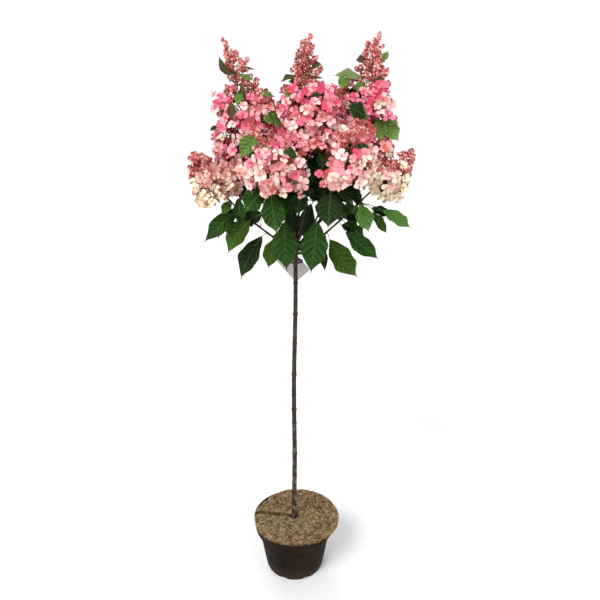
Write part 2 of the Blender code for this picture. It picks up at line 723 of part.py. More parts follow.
def build():
    clear_scene()
    home = make_collection("panicle_hydrangea")
    cutters = make_collection("cutters", hidden=True)
    plastic = make_material("pot_plastic", (0.045, 0.032, 0.028), 0.55)
    compost = make_material("compost", (0.06, 0.035, 0.02), 0.95)
    coir = make_material("coir", (0.22, 0.14, 0.07), 0.95)
    bark = make_material("bark", (0.12, 0.085, 0.06), 0.85)
    card = make_material("card", (0.62, 0.60, 0.60), 0.6)
    leaf = make_material("leaf", (0.05, 0.14, 0.04), 0.5)
    bloom = make_material("bloom", (0.75, 0.25, 0.33), 0.6)
    space = Space()
    make_pot(home, cutters, plastic)
    make_compost(home, compost)
    make_disc(home, cutters, coir)
    space.keep(make_stem(home, bark))
    space.keep(make_label(home, card))
    for shoot in SHOOTS:
        space.keep(make_bough(shoot, space, home, bark))
    cores = [space.keep(make_core(shoot, home)) for shoot in SHOOTS]
    stems = [space.keep(make_shoot_stem(shoot, home)) for shoot in SHOOTS]
    add_hanging_leaves(space)
    add_upper_leaves(space)
    for index, shoot in enumerate(SHOOTS):
        dress_panicle(shoot, index, space)
    for index, shoot in enumerate(SHOOTS):
        dress_shoot(shoot, index, space)
    for core in cores:
        finish(space.join(core), bloom)
    for stem in stems:
        finish(space.join(stem), leaf)
    for cutter in list(cutters.objects):
        bpy.data.objects.remove(cutter, do_unlink=True)


build()
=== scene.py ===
import json
import math
import random
from bisect import bisect_left
from collections import namedtuple

import bmesh
import bpy
import numpy as np
from mathutils import Matrix, Vector, noise

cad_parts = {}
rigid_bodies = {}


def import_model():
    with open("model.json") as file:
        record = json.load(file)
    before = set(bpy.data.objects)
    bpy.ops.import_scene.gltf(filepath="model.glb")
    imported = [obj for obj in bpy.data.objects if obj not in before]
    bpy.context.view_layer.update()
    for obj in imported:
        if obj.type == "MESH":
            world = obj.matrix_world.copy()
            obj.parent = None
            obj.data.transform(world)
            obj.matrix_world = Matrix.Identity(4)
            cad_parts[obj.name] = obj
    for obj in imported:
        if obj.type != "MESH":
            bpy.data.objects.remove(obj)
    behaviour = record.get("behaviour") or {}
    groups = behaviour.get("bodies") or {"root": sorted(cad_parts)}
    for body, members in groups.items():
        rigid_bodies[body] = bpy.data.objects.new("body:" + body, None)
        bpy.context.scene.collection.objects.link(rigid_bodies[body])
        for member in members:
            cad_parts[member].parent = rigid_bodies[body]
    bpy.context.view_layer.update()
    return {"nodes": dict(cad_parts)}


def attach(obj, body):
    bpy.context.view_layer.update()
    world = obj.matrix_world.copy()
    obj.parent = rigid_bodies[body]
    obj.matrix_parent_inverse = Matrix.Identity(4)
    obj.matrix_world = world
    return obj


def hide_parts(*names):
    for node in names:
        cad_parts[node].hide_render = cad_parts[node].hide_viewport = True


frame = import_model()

nodeNames = sorted(frame["nodes"])
print("frame loaded:", len(nodeNames), "nodes")

# a potted panicle hydrangea on one clear stem, front towards -Y, in metres

plant = {
    "stemFoot": (-0.0025, -0.013, 0.1663), "stemHead": (0.005, -0.008, 1.110),
    "footRadius": 0.0078, "headRadius": 0.0058,
    "knots": (0.225, 0.339, 0.416, 0.526, 0.571, 0.622, 0.689, 0.790, 0.880, 0.975),
    "swelling": (1.085, 0.028, 0.0030),    # of the fork: height, half width, how far it stands out
    "boughShare": 0.29,                    # where along its course a bough ends and its leafy shoot starts
    "buttLength": 0.0055, "goldenAngle": math.radians(137.5), "clear": 0.0003,
    "eye": (0.0175, -1.4687, 1.3565),      # the camera's place, from which the photo shows the crown
}


def inMetres(item):                      # in the tables of places, whole numbers are millimetres
    if isinstance(item, int):
        return item / 1000
    if isinstance(item, dict):
        return {key: inMetres(part) for key, part in item.items()}
    return tuple(inMetres(part) for part in item) if isinstance(item, tuple) else item


# name, height leaving the stem, foot and tip of the panicle, widest radius, share in flower
Shoot = namedtuple("Shoot", "name leave foot tip widest bloom")
shoots = inMetres((
    ("upper_left", 1098, (-112, 30, 1253), (-181, 0, 1616), 93, 0.62),
    ("upper_front", 1104, (45, -60, 1315), (37, -60, 1605), 88, 0.6),
    ("upper_right", 1092, (170, 30, 1285), (219, 10, 1629), 98, 0.6),
    ("upper_back", 1102, (25, 140, 1290), (40, 175, 1600), 88, 0.58),
    ("lower_left", 1074, (-180, -20, 1216), (-266, -32, 1333), 69, 0.66),
    ("lower_front_left", 1080, (-40, -85, 1250), (-80, -235, 1385), 78, 0.82),
    ("lower_front_right", 1084, (108, -80, 1265), (160, -235, 1400), 80, 0.82),
    ("lower_right", 1062, (218, -20, 1242), (315, -30, 1338), 64, 0.66),
    ("lower_back_right", 1070, (135, 120, 1245), (195, 245, 1385), 78, 0.76),
    ("lower_back_left", 1078, (-85, 120, 1240), (-150, 245, 1380), 78, 0.76),
))
shoots = [Shoot(*row) for row in shoots]

# leaves hanging free under the crown: shoot, share along its course, blade's base and tip,
# half width as a share of its length, bow, tint
hangingLeaves = inMetres((
    ("lower_left", 0.9, (-148, -30, 1192), (-250, -52, 1097), 0.18, -0.03, "mid"),
    ("lower_left", 0.98, (-164, -60, 1214), (-191, -75, 1176), 0.28, 0.0, "olive"),
    ("lower_left", 0.8, (-148, -50, 1220), (-141, -60, 1144), 0.22, 0.0, "mid"),
    ("lower_left", 0.62, (-116, -55, 1161), (-178, -86, 1072), 0.24, 0.07, "olive"),
    ("lower_left", 0.44, (-83, -30, 1177), (-145, -20, 1144), 0.34, 0.0, "deep"),
    ("lower_left", 0.5, (-150, 0, 1143), (-205, 5, 1120), 0.13, 0.0, "bronze"),
    ("lower_left", 0.32, (-87, -30, 1115), (-151, -50, 991), 0.2, 0.04, "deep"),
    ("lower_front_left", 0.34, (-46, -35, 1113), (-72, -45, 1022), 0.26, 0.0, "olive"),
    ("lower_front_left", 0.4, (-22, -95, 1165), (-17, -110, 1030), 0.25, 0.0, "mid"),
    ("lower_front_right", 0.4, (62, -95, 1165), (45, -110, 1022), 0.25, -0.02, "mid"),
    ("lower_front_right", 0.33, (76, -30, 1103), (88, -30, 1008), 0.12, 0.0, "deep"),
    ("lower_right", 0.33, (98, -45, 1108), (182, -60, 1001), 0.24, 0.08, "olive"),
    ("lower_right", 0.5, (140, -55, 1130), (237, -72, 1056), 0.21, 0.03, "mid"),
    ("lower_right", 0.66, (137, -90, 1222), (164, -95, 1188), 0.16, 0.0, "fresh"),
    ("lower_right", 0.74, (173, -90, 1208), (199, -100, 1133), 0.29, 0.0, "fresh"),
    ("lower_right", 0.7, (216, -10, 1178), (265, -5, 1114), 0.18, 0.0, "olive"),
    ("lower_right", 0.8, (238, -50, 1188), (322, -50, 1138), 0.2, 0.02, "fresh"),
    ("lower_right", 0.8, (210, -30, 1191), (267, -40, 1168), 0.24, 0.0, "deep"),
    ("lower_right", 0.5, (131, -20, 1143), (186, -20, 1127), 0.34, 0.0, "olive"),
    ("lower_front_left", 0.84, (-54, -150, 1242), (-40, -165, 1138), 0.29, 0.0, "mid"),
    ("lower_front_right", 0.84, (94, -150, 1244), (87, -170, 1154), 0.38, 0.0, "deep"),
    ("lower_front_left", 0.78, (-74, -130, 1248), (-124, -140, 1190), 0.38, 0.0, "mid"),
    ("upper_front", 0.4, (48, -20, 1203), (26, 0, 1098), 0.22, 0.0, "deep"),
    ("upper_back", 0.45, (-8, 10, 1200), (-5, 20, 1095), 0.2, 0.0, "deep"),
    ("upper_front", 0.4, (18, -120, 1246), (12, -130, 1182), 0.36, 0.0, "deep"),
    ("upper_back", 0.5, (-62, 118, 1188), (-90, 146, 1136), 0.3, 0.0, "mid"),
    ("upper_back", 0.52, (98, 128, 1186), (150, 160, 1124), 0.27, 0.03, "deep"),
    ("lower_back_left", 0.6, (-110, 110, 1182), (-186, 135, 1106), 0.19, 0.0, "mid"),
    ("lower_back_right", 0.6, (158, 112, 1186), (228, 135, 1114), 0.2, 0.0, "fresh"),
    ("upper_back", 0.34, (6, 86, 1150), (-4, 112, 1046), 0.24, 0.03, "mid"),
    ("lower_back_left", 0.4, (-34, 80, 1118), (-50, 100, 1032), 0.25, 0.0, "deep"),
    ("lower_back_right", 0.4, (72, 80, 1120), (80, 100, 1034), 0.25, 0.0, "mid"),
))

# places under the flowers where the sky shows through from the front: across, height, radius in metres
skyGaps = inMetres((
    (-176, 1196, 0.0166), (-133, 1174, 0.0124), (-102, 1188, 0.011), (-78, 1143, 0.0138),
    (-112, 1124, 0.0276), (-81, 1098, 0.011), (45, 1193, 0.0138), (48, 1168, 0.0124), (113, 1109, 0.0249),
    (222, 1199, 0.0166), (-19, 1143, 0.0083),
))

# leaves between the flowers: panicle, share up its axis, then the same
flowerLeaves = inMetres((
    ("upper_left", 0.7, (-141, -20, 1527), (-186, -30, 1576), 0.17, -0.3, "bronze"),
    ("upper_left", 0.68, (-140, -30, 1528), (-96, -40, 1510), 0.14, 0.05, "moss"),
    ("upper_left", 0.72, (-122, -20, 1548), (-94, -30, 1538), 0.1, 0.14, "bronze"),
    ("upper_left", 0.6, (-132, -40, 1506), (-143, -50, 1449), 0.16, -0.2, "bronze"),
    ("upper_left", 0.56, (-132, -45, 1484), (-142, -58, 1450), 0.34, 0.0, "moss"),
    ("upper_left", 0.6, (-95, -30, 1488), (-41, -40, 1472), 0.13, 0.04, "moss"),
    ("upper_left", 0.46, (-154, -60, 1457), (-156, -75, 1413), 0.25, 0.0, "bronze"),
    ("upper_left", 0.42, (-31, -50, 1412), (-78, -80, 1415), 0.38, 0.0, "moss"),
    ("upper_left", 0.3, (-86, -90, 1381), (-135, -120, 1321), 0.3, 0.0, "moss"),
    ("upper_left", 0.4, (-198, 0, 1404), (-225, 0, 1390), 0.2, 0.0, "deep"),
    ("upper_front", 0.78, (45, -60, 1538), (73, -70, 1546), 0.33, 0.0, "bronze"),
    ("upper_front", 0.82, (18, -60, 1558), (0, -60, 1557), 0.22, 0.0, "bronze"),
    ("upper_front", 0.74, (18, -80, 1510), (-32, -100, 1500), 0.16, 0.12, "bronze"),
    ("upper_front", 0.72, (-10, -70, 1507), (27, -90, 1491), 0.18, 0.0, "deep"),
    ("upper_front", 0.74, (35, -70, 1515), (79, -70, 1514), 0.09, 0.05, "bronze"),
    ("upper_front", 0.62, (20, -100, 1479), (-21, -130, 1461), 0.26, 0.12, "moss"),
    ("upper_front", 0.6, (74, -90, 1480), (44, -100, 1465), 0.16, 0.0, "mid"),
    ("upper_front", 0.58, (-43, -60, 1459), (-12, -80, 1446), 0.16, 0.0, "deep"),
    ("upper_right", 0.78, (189, -10, 1559), (156, -20, 1562), 0.36, 0.0, "bronze"),
    ("upper_right", 0.78, (228, 0, 1560), (245, 0, 1587), 0.27, 0.0, "moss"),
    ("upper_right", 0.72, (176, -20, 1520), (99, -30, 1524), 0.19, 0.02, "sage"),
    ("upper_right", 0.66, (134, -30, 1526), (121, -50, 1486), 0.32, 0.0, "moss"),
    ("upper_right", 0.62, (173, -30, 1511), (161, -50, 1480), 0.3, 0.0, "moss"),
    ("upper_right", 0.62, (202, -20, 1505), (239, -10, 1525), 0.16, 0.0, "bronze"),
    ("upper_right", 0.44, (182, -80, 1422), (130, -100, 1449), 0.36, 0.0, "deep"),
    ("upper_right", 0.42, (188, -74, 1410), (136, -94, 1436), 0.42, 0.0, "moss"),
    ("upper_right", 0.36, (223, -30, 1417), (276, -50, 1363), 0.34, 0.0, "moss"),
    ("upper_right", 0.36, (218, -40, 1422), (226, -60, 1360), 0.28, 0.0, "moss"),
    ("lower_front_left", 0.9, (10, -180, 1330), (-24, -200, 1339), 0.38, 0.0, "mid"),
    ("upper_front", 0.1, (64, -130, 1341), (74, -140, 1293), 0.26, 0.0, "deep"),
    ("upper_front", 0.04, (35, -80, 1323), (49, -80, 1253), 0.4, 0.0, "deep"),
    ("upper_front", 0.02, (18, -50, 1308), (47, -50, 1214), 0.42, 0.0, "deep"),
    ("upper_front", 0.08, (98, -60, 1343), (62, -60, 1272), 0.42, 0.0, "deep"),
    ("upper_front", 0.0, (76, -40, 1297), (50, -40, 1200), 0.4, 0.0, "deep"),
    ("upper_back", 0.66, (70, 180, 1500), (112, 190, 1497), 0.22, 0.0, "fresh"),
    ("upper_back", 0.4, (-30, 200, 1430), (-75, 215, 1408), 0.34, 0.0, "mid"),
    ("upper_back", 0.74, (20, 180, 1520), (-20, 190, 1535), 0.2, 0.0, "bronze"),
    ("upper_back", 0.52, (100, 210, 1440), (142, 225, 1418), 0.34, 0.0, "fresh"),
    ("upper_right", 0.6, (225, 60, 1480), (275, 85, 1470), 0.3, 0.0, "mid"),
    ("upper_right", 0.4, (190, 110, 1400), (216, 128, 1350), 0.34, 0.0, "fresh"),
    ("upper_left", 0.5, (-170, 75, 1440), (-215, 100, 1430), 0.3, 0.0, "mid"),
    ("upper_left", 0.34, (-120, 115, 1390), (-140, 132, 1340), 0.36, 0.0, "fresh"),
))

# clumps of closed buds on the panicles seen from the front: place and size
budPlaces = inMetres({
    "upper_left": (
        (-180, 4, 1612, 0.54), (-173, -2, 1602, 0.83), (-171, 7, 1595, 0.64), (-148, -3, 1577, 1.05),
        (-160, 9, 1583, 0.8), (-168, -12, 1570, 0.95), (-160, 2, 1565, 1.0), (-169, 11, 1557, 0.97),
        (-151, -9, 1566, 0.83), (-118, -2, 1566, 0.72), (-136, -3, 1562, 0.77), (-130, -15, 1551, 1.02),
        (-130, 4, 1544, 0.91), (-139, -12, 1542, 0.8), (-120, 8, 1543, 0.58), (-156, -20, 1543, 0.83),
        (-164, -2, 1522, 0.97), (-152, 11, 1521, 0.98), (-136, -19, 1520, 0.96), (-96, -10, 1512, 0.95),
        (-110, -8, 1525, 0.74), (-120, -26, 1507, 0.96), (-113, 2, 1500, 0.98), (-129, -19, 1503, 0.8),
        (-171, 8, 1496, 0.98), (-153, -34, 1490, 1.11), (-175, -6, 1485, 0.81), (-103, 12, 1494, 1.18),
        (-85, -28, 1483, 1.22), (-73, -15, 1477, 1.16), (-91, -17, 1470, 1.23), (-105, -34, 1475, 0.96),
        (-64, 0, 1471, 0.98), (-122, -28, 1456, 1.13), (-112, 7, 1446, 1.16), (-90, -46, 1448, 1.12),
        (-74, -9, 1453, 1.14), (-57, 12, 1459, 0.99),
    ),
    "upper_front": (
        (43, -62, 1609, 0.67), (37, -68, 1597, 0.76), (42, -57, 1590, 0.8), (28, -65, 1598, 0.49),
        (25, -54, 1589, 1.04), (39, -73, 1578, 0.97), (32, -59, 1573, 0.92), (45, -49, 1574, 0.68),
        (18, -71, 1568, 0.91), (26, -64, 1565, 0.92), (11, -63, 1567, 0.67), (20, -76, 1553, 0.91),
        (13, -52, 1546, 0.99), (4, -71, 1541, 0.61), (-3, -46, 1535, 0.56), (11, -83, 1530, 0.91),
        (22, -57, 1538, 0.93), (28, -41, 1530, 0.94), (15, -77, 1520, 1.07), (30, -64, 1546, 0.74),
        (52, -64, 1557, 0.8), (58, -74, 1560, 0.49), (67, -51, 1534, 0.93), (57, -73, 1525, 0.77),
        (45, -46, 1535, 0.78), (10, -88, 1505, 0.92), (25, -56, 1511, 1.06), (40, -38, 1515, 0.95),
        (-17, -81, 1492, 0.8), (-7, -66, 1484, 0.93), (-25, -66, 1487, 0.69), (42, -85, 1499, 0.92),
        (55, -49, 1502, 0.94), (8, -76, 1490, 0.93),
    ),
    "upper_right": (
        (222, 12, 1627, 0.61), (219, 5, 1617, 0.8), (216, 15, 1609, 0.74), (207, 7, 1613, 0.61),
        (194, 17, 1600, 1.1), (201, -4, 1590, 0.96), (188, 10, 1583, 0.97), (181, 19, 1578, 0.71),
        (214, 1, 1591, 0.96), (218, 5, 1578, 1.09), (205, 4, 1577, 0.96), (229, 0, 1597, 0.57),
        (209, 13, 1567, 0.97), (218, -4, 1559, 0.96), (232, 17, 1567, 0.71), (214, -16, 1547, 1.12),
        (228, 6, 1544, 0.97), (206, 20, 1553, 0.82), (235, -13, 1532, 1.03), (230, -3, 1524, 0.97),
        (242, -1, 1541, 0.61), (186, -11, 1556, 0.89), (176, 12, 1547, 0.91), (164, -7, 1542, 0.74),
        (195, 17, 1543, 0.98), (186, -22, 1525, 1.08), (202, 5, 1522, 0.98), (180, 21, 1529, 0.99),
        (212, -14, 1530, 0.96), (240, -6, 1507, 0.97), (248, -6, 1506, 0.65), (225, -23, 1507, 0.8),
        (148, 10, 1513, 1.05), (154, -12, 1518, 0.8), (139, 17, 1509, 0.79), (171, -28, 1507, 0.8),
        (127, 2, 1493, 0.98), (140, 22, 1487, 0.99), (115, -24, 1486, 0.8), (147, -10, 1477, 0.97),
        (160, -7, 1497, 0.81),
    ),
    "lower_left": (
        (-261, -40, 1331, 0.98), (-248, -57, 1325, 0.97), (-242, -27, 1325, 0.99), (-228, -50, 1321, 0.91),
        (-222, -22, 1318, 0.73), (-260, -62, 1318, 0.91), (-273, -34, 1321, 0.66), (-252, -19, 1314, 1.0),
        (-233, -55, 1314, 0.78), (-256, -45, 1302, 0.99), (-244, -46, 1297, 1.12), (-230, -62, 1298, 1.07),
        (-224, -31, 1302, 1.0), (-210, -53, 1305, 0.85), (-276, -26, 1296, 0.8), (-258, -68, 1290, 0.97),
        (-250, -41, 1282, 1.13), (-237, -24, 1283, 1.0), (-265, -62, 1276, 0.78),
    ),
    "lower_right": (
        (308, -40, 1338, 0.98), (309, -58, 1328, 0.78), (301, -27, 1331, 0.79), (289, -51, 1323, 0.78),
        (319, -24, 1318, 0.6), (271, -61, 1333, 0.45), (284, -36, 1317, 0.66), (244, -21, 1314, 0.83),
        (249, -58, 1308, 0.98), (262, -47, 1302, 0.92), (238, -48, 1300, 0.82), (251, -65, 1293, 0.81),
        (270, -35, 1289, 0.83), (279, -57, 1293, 0.98), (295, -30, 1286, 1.0), (297, -70, 1291, 0.78),
        (224, -40, 1297, 0.99), (212, -25, 1294, 1.0),
    ),
})

# single florets that can be told apart from the front: place, radius, tint
showyFlorets = inMetres({
    "upper_left": (
        (-182, -49, 1472, 13, "deepPink"), (-188, -49, 1457, 11, "deepPink"),
        (-203, -28, 1478, 12, "palePink"), (-200, -40, 1446, 12, "palePink"), (-174, -61, 1447, 10, "rose"),
        (-172, -64, 1421, 10, "rose"), (-108, -58, 1473, 10, "deepPink"), (-123, -70, 1449, 11, "blush"),
        (-126, -73, 1427, 14, "deepPink"), (-154, -70, 1406, 11, "blush"), (-182, -58, 1399, 14, "rose"),
        (-89, -67, 1409, 15, "deepPink"), (-132, -73, 1380, 14, "palePink"), (-109, -73, 1382, 14, "blush"),
        (-69, -55, 1426, 10, "blush"), (-60, -34, 1454, 15, "salmon"), (-72, -37, 1473, 14, "rose"),
        (-47, -37, 1393, 14, "deepPink"), (-55, -46, 1373, 17, "palePink"), (-184, -52, 1373, 10, "cream"),
        (-198, -34, 1348, 13, "palePink"), (-155, -64, 1343, 14, "rose"), (-106, -70, 1336, 17, "deepPink"),
        (-60, -52, 1338, 18, "blush"), (-81, -64, 1318, 13, "rose"), (-97, -70, 1426, 13, "rose"),
        (-111, -73, 1412, 13, "salmon"), (-96, -64, 1449, 13, "salmon"), (-119, -73, 1401, 13, "rose"),
        (-81, -58, 1443, 13, "palePink"), (-91, -67, 1331, 13, "palePink"), (-68, -55, 1340, 14, "blush"),
        (-56, -49, 1325, 14, "palePink"), (-48, -40, 1340, 13, "rose"), (-66, -55, 1318, 13, "palePink"),
    ),
    "upper_front": (
        (32, -151, 1437, 13, "palePink"), (-21, -127, 1443, 11, "deepPink"),
        (-16, -130, 1454, 10, "palePink"), (8, -145, 1464, 12, "rose"), (53, -151, 1452, 12, "palePink"),
        (48, -145, 1484, 11, "rose"), (67, -142, 1484, 11, "deepPink"), (84, -139, 1475, 14, "rose"),
        (79, -145, 1440, 14, "deepPink"), (101, -133, 1451, 13, "deepPink"), (-24, -124, 1404, 13, "blush"),
        (1, -142, 1399, 12, "blush"), (10, -145, 1422, 10, "salmon"), (22, -151, 1408, 12, "rose"),
        (44, -151, 1399, 12, "blush"), (65, -151, 1408, 15, "palePink"), (89, -142, 1413, 13, "palePink"),
        (70, -148, 1428, 9, "salmon"), (5, -145, 1376, 12, "rose"), (-7, -136, 1353, 12, "palePink"),
        (13, -148, 1360, 12, "deepPink"), (32, -151, 1351, 10, "palePink"), (49, -151, 1360, 13, "salmon"),
        (71, -148, 1355, 10, "rose"), (78, -145, 1374, 11, "blush"), (98, -136, 1367, 15, "palePink"),
        (25, -148, 1337, 13, "shade"), (85, -142, 1383, 10, "deepPink"), (58, -151, 1432, 12, "rose"),
        (48, -151, 1445, 11, "palePink"), (67, -148, 1419, 11, "palePink"), (39, -151, 1401, 12, "rose"),
    ),
    "upper_right": (
        (155, -70, 1470, 12, "deepPink"), (172, -76, 1453, 14, "deepPink"), (133, -61, 1468, 9, "rose"),
        (212, -61, 1494, 14, "deepPink"), (197, -70, 1479, 14, "rose"), (228, -52, 1497, 13, "rose"),
        (187, -76, 1439, 11, "deepPink"), (206, -73, 1423, 11, "deepPink"), (236, -61, 1459, 13, "palePink"),
        (212, -73, 1453, 11, "cream"), (254, -49, 1455, 9, "cream"), (241, -58, 1426, 15, "deepPink"),
        (199, -73, 1396, 13, "salmon"), (134, -67, 1409, 18, "rose"), (130, -64, 1392, 13, "cream"),
        (179, -76, 1384, 13, "blush"), (150, -70, 1375, 10, "palePink"), (178, -73, 1363, 13, "rose"),
        (197, -70, 1345, 18, "palePink"), (163, -73, 1338, 15, "deepPink"), (123, -61, 1338, 15, "blush"),
        (145, -70, 1363, 13, "salmon"), (235, -55, 1350, 16, "salmon"), (248, -43, 1338, 13, "cream"),
        (196, -64, 1492, 14, "deepPink"), (216, -61, 1488, 14, "deepPink"), (235, -55, 1481, 13, "rose"),
        (186, -73, 1474, 14, "rose"), (206, -70, 1468, 14, "deepPink"), (226, -64, 1465, 14, "palePink"),
        (244, -58, 1446, 13, "blush"), (237, -61, 1435, 13, "rose"), (215, -73, 1439, 14, "palePink"),
        (191, -76, 1456, 12, "deepPink"), (175, -70, 1482, 12, "rose"), (150, -70, 1370, 14, "rose"),
        (165, -73, 1358, 14, "rose"), (177, -76, 1375, 13, "palePink"), (145, -70, 1353, 13, "palePink"),
        (162, -73, 1380, 13, "salmon"),
    ),
    "lower_left": (
        (-248, -91, 1249, 13, "cream"), (-228, -91, 1231, 13, "cream"), (-211, -91, 1216, 10, "cream"),
        (-237, -97, 1275, 11, "dusk"), (-218, -97, 1260, 13, "dusk"), (-200, -97, 1250, 12, "cream"),
        (-258, -88, 1264, 10, "cream"), (-217, -97, 1285, 10, "palePink"), (-197, -94, 1279, 11, "dusk"),
        (-173, -85, 1279, 13, "dusk"), (-163, -85, 1259, 12, "cream"), (-186, -94, 1229, 10, "cream"),
    ),
    "lower_front_left": (
        (-110, -214, 1291, 16, "blush"), (-103, -202, 1262, 9, "blush"), (-78, -235, 1310, 14, "blush"),
        (-74, -232, 1289, 14, "blush"), (-82, -241, 1329, 11, "palePink"), (-33, -232, 1305, 15, "palePink"),
        (-13, -220, 1302, 7, "blush"), (-1, -211, 1304, 9, "blush"), (15, -193, 1317, 13, "palePink"),
        (-29, -226, 1285, 14, "palePink"), (32, -139, 1287, 11, "palePink"), (22, -160, 1264, 17, "blush"),
        (20, -145, 1236, 10, "palePink"), (-48, -211, 1252, 11, "salmon"), (-52, -226, 1273, 9, "salmon"),
        (-18, -205, 1260, 13, "palePink"), (-23, -196, 1246, 12, "cream"), (-66, -226, 1271, 9, "palePink"),
        (6, -202, 1288, 12, "rose"), (-97, -232, 1316, 9, "deepPink"), (-55, -238, 1314, 10, "palePink"),
        (-126, -199, 1299, 12, "blush"), (-59, -244, 1338, 11, "palePink"), (-46, -238, 1329, 12, "rose"),
        (-68, -241, 1325, 11, "palePink"), (-32, -232, 1340, 11, "blush"), (-75, -244, 1340, 11, "rose"),
        (-19, -226, 1327, 11, "palePink"),
    ),
    "lower_front_right": (
        (113, -235, 1331, 14, "blush"), (146, -241, 1336, 12, "deepPink"), (167, -235, 1336, 14, "palePink"),
        (135, -238, 1325, 9, "blush"), (105, -229, 1307, 14, "palePink"), (134, -232, 1305, 11, "rose"),
        (124, -226, 1289, 12, "blush"), (169, -211, 1281, 13, "blush"), (95, -211, 1281, 14, "blush"),
        (75, -181, 1263, 11, "salmon"), (112, -202, 1262, 11, "blush"), (130, -211, 1268, 11, "blush"),
        (136, -223, 1282, 10, "rose"), (63, -187, 1289, 10, "rose"), (78, -205, 1290, 11, "salmon"),
        (153, -226, 1298, 10, "palePink"),
    ),
    "lower_right": (
        (237, -91, 1279, 14, "blush"), (280, -88, 1304, 10, "cream"), (216, -79, 1294, 12, "salmon"),
        (201, -82, 1256, 13, "cream"), (268, -91, 1274, 13, "cream"), (239, -88, 1246, 13, "cream"),
        (282, -79, 1248, 13, "cream"), (265, -79, 1233, 13, "cream"), (228, -85, 1228, 12, "cream"),
        (212, -85, 1238, 12, "cream"), (250, -76, 1220, 10, "cream"), (283, -55, 1220, 11, "cream"),
        (221, -88, 1267, 13, "cream"), (255, -88, 1254, 12, "blush"), (287, -88, 1274, 10, "cream"),
    ),
})

# gaps between the panicles, each from its top down: height, left, right
floretNotches = inMetres((
    ((1350, 28, 92), (1315, 30, 86), (1285, 38, 70), (1225, 30, 55)),
    ((1474, -400, -222), (1448, -400, -192), (1404, -400, -196), (1392, -400, -230)),
    ((1300, 312, 400), (1250, 300, 400), (1200, 290, 400)),
    ((1500, 250, 400), (1420, 252, 400)),
))


def between(a, b, share):
    return a + (b - a) * share


def eased(low, high, value):             # from 0 to 1 without a corner
    share = np.clip((value - low) / (high - low), 0.0, 1.0)
    return share * share * (3.0 - 2.0 * share)


def hump(distance, width):               # 1 in the middle, soft on both sides
    return math.exp(-(distance / width) ** 2)


def turnsOf(count):                      # evenly round a circle
    return [math.tau * j / count for j in range(count)]


def bumpy(*place):
    return noise.noise(Vector(place))


def wander(rng, size):
    return Vector((rng.uniform(-size, size), rng.uniform(-size, size), rng.uniform(-size, size)))


def levelled(away):                      # the level direction of a vector
    return Vector((away.x, away.y, 0.0)).normalized()


def screenColour(colour):                # a colour as the eye reads it on a screen, made linear
    return tuple(c / 255 / 12.92 if c < 11 else ((c / 255 + 0.055) / 1.055) ** 2.4 for c in colour) + (1.0,)


def newHeap():
    return {"points": [], "faces": [], "tones": []}


def gridInto(heap, rows, closed=False, tones=()):   # rows of points, each row as long as the last
    first, wide = len(heap["points"]), len(rows[0])
    heap["tones"].extend(tones)
    for row in rows:
        heap["points"].extend(row)
    for i in range(len(rows) - 1):
        for j in range(wide if closed else wide - 1):
            a, b = first + i * wide + j, first + i * wide + (j + 1) % wide
            heap["faces"].append((a, b, b + wide, a + wide))


def inScene(name, mesh):
    thing = bpy.data.objects.new(name, mesh)
    bpy.context.scene.collection.objects.link(thing)
    return thing


def pieceFrom(name, heap, *materials):
    mesh = bpy.data.meshes.new(name)
    mesh.from_pydata([tuple(p) for p in heap["points"]], [], heap["faces"])
    for material in materials:
        mesh.materials.append(material)
    if heap["tones"]:
        mesh.polygons.foreach_set("material_index", heap["tones"])
    mesh.shade_smooth()
    return inScene(name, mesh)


def mergeClose(piece, distance, sharpFrom=None):
    bm = bmesh.new()
    bm.from_mesh(piece.data)
    bmesh.ops.remove_doubles(bm, verts=bm.verts, dist=distance)
    bmesh.ops.recalc_face_normals(bm, faces=bm.faces)
    bm.to_mesh(piece.data)
    bm.free()
    if sharpFrom:
        piece.data.set_sharp_from_angle(angle=math.radians(sharpFrom))


def crossings(points):                   # two cross directions at each point, carried without twist
    found, side = [], None
    for i in range(len(points)):
        ahead = (points[min(i + 1, len(points) - 1)] - points[max(i - 1, 0)]).normalized()
        side = ahead.orthogonal() if side is None else side
        side = (side - ahead * side.dot(ahead)).normalized()
        found.append((side, ahead.cross(side)))
    return found


def tubeInto(heap, points, radii, sides, relief):
    first, rows = len(heap["points"]), []
    for point, reach, (side, other) in zip(points, radii, crossings(points)):
        row = []
        for turn in turnsOf(sides):
            away = side * math.cos(turn) + other * math.sin(turn)
            row.append(point + away * (reach + relief(point + away * reach)))
        rows.append(row)
    gridInto(heap, rows, closed=True)
    last = first + (len(rows) - 1) * sides
    heap["faces"] += [tuple(reversed(range(first, first + sides))), tuple(range(last, last + sides))]


def addNode(tree, kind, sockets=None, **settings):   # a node given for a socket stands for its first output
    made = tree.nodes.new(kind)
    for key, value in settings.items():
        setattr(made, key, value)
    for key, value in (sockets or {}).items():
        value = value.outputs[0] if isinstance(value, bpy.types.Node) else value
        if isinstance(value, bpy.types.NodeSocket):
            tree.links.new(value, made.inputs[key])
        else:
            made.inputs[key].default_value = value
    return made


def addInputs(tree, inputs):
    for label, kind, value in inputs:
        socket = tree.interface.new_socket(label, in_out="INPUT", socket_type="NodeSocket" + kind)
        if value is not None:
            socket.default_value = value


def maths(tree, operation, a, b=0.5):
    return addNode(tree, "ShaderNodeMath", {0: a, 1: b}, operation=operation)


def ranged(tree, value, low, high, least=0.0, most=1.0):
    return addNode(tree, "ShaderNodeMapRange", {"Value": value, "From Min": low, "From Max": high,
                                                "To Min": least, "To Max": most})


def noised(tree, place, scale, detail=2.0):
    return addNode(tree, "ShaderNodeTexNoise", {"Vector": place, "Scale": scale, "Detail": detail})


def blended(tree, factor, colour, other):
    mix = addNode(tree, "ShaderNodeMix", {"Factor": factor, 6: colour, 7: other}, data_type="RGBA")
    return mix.outputs[2]


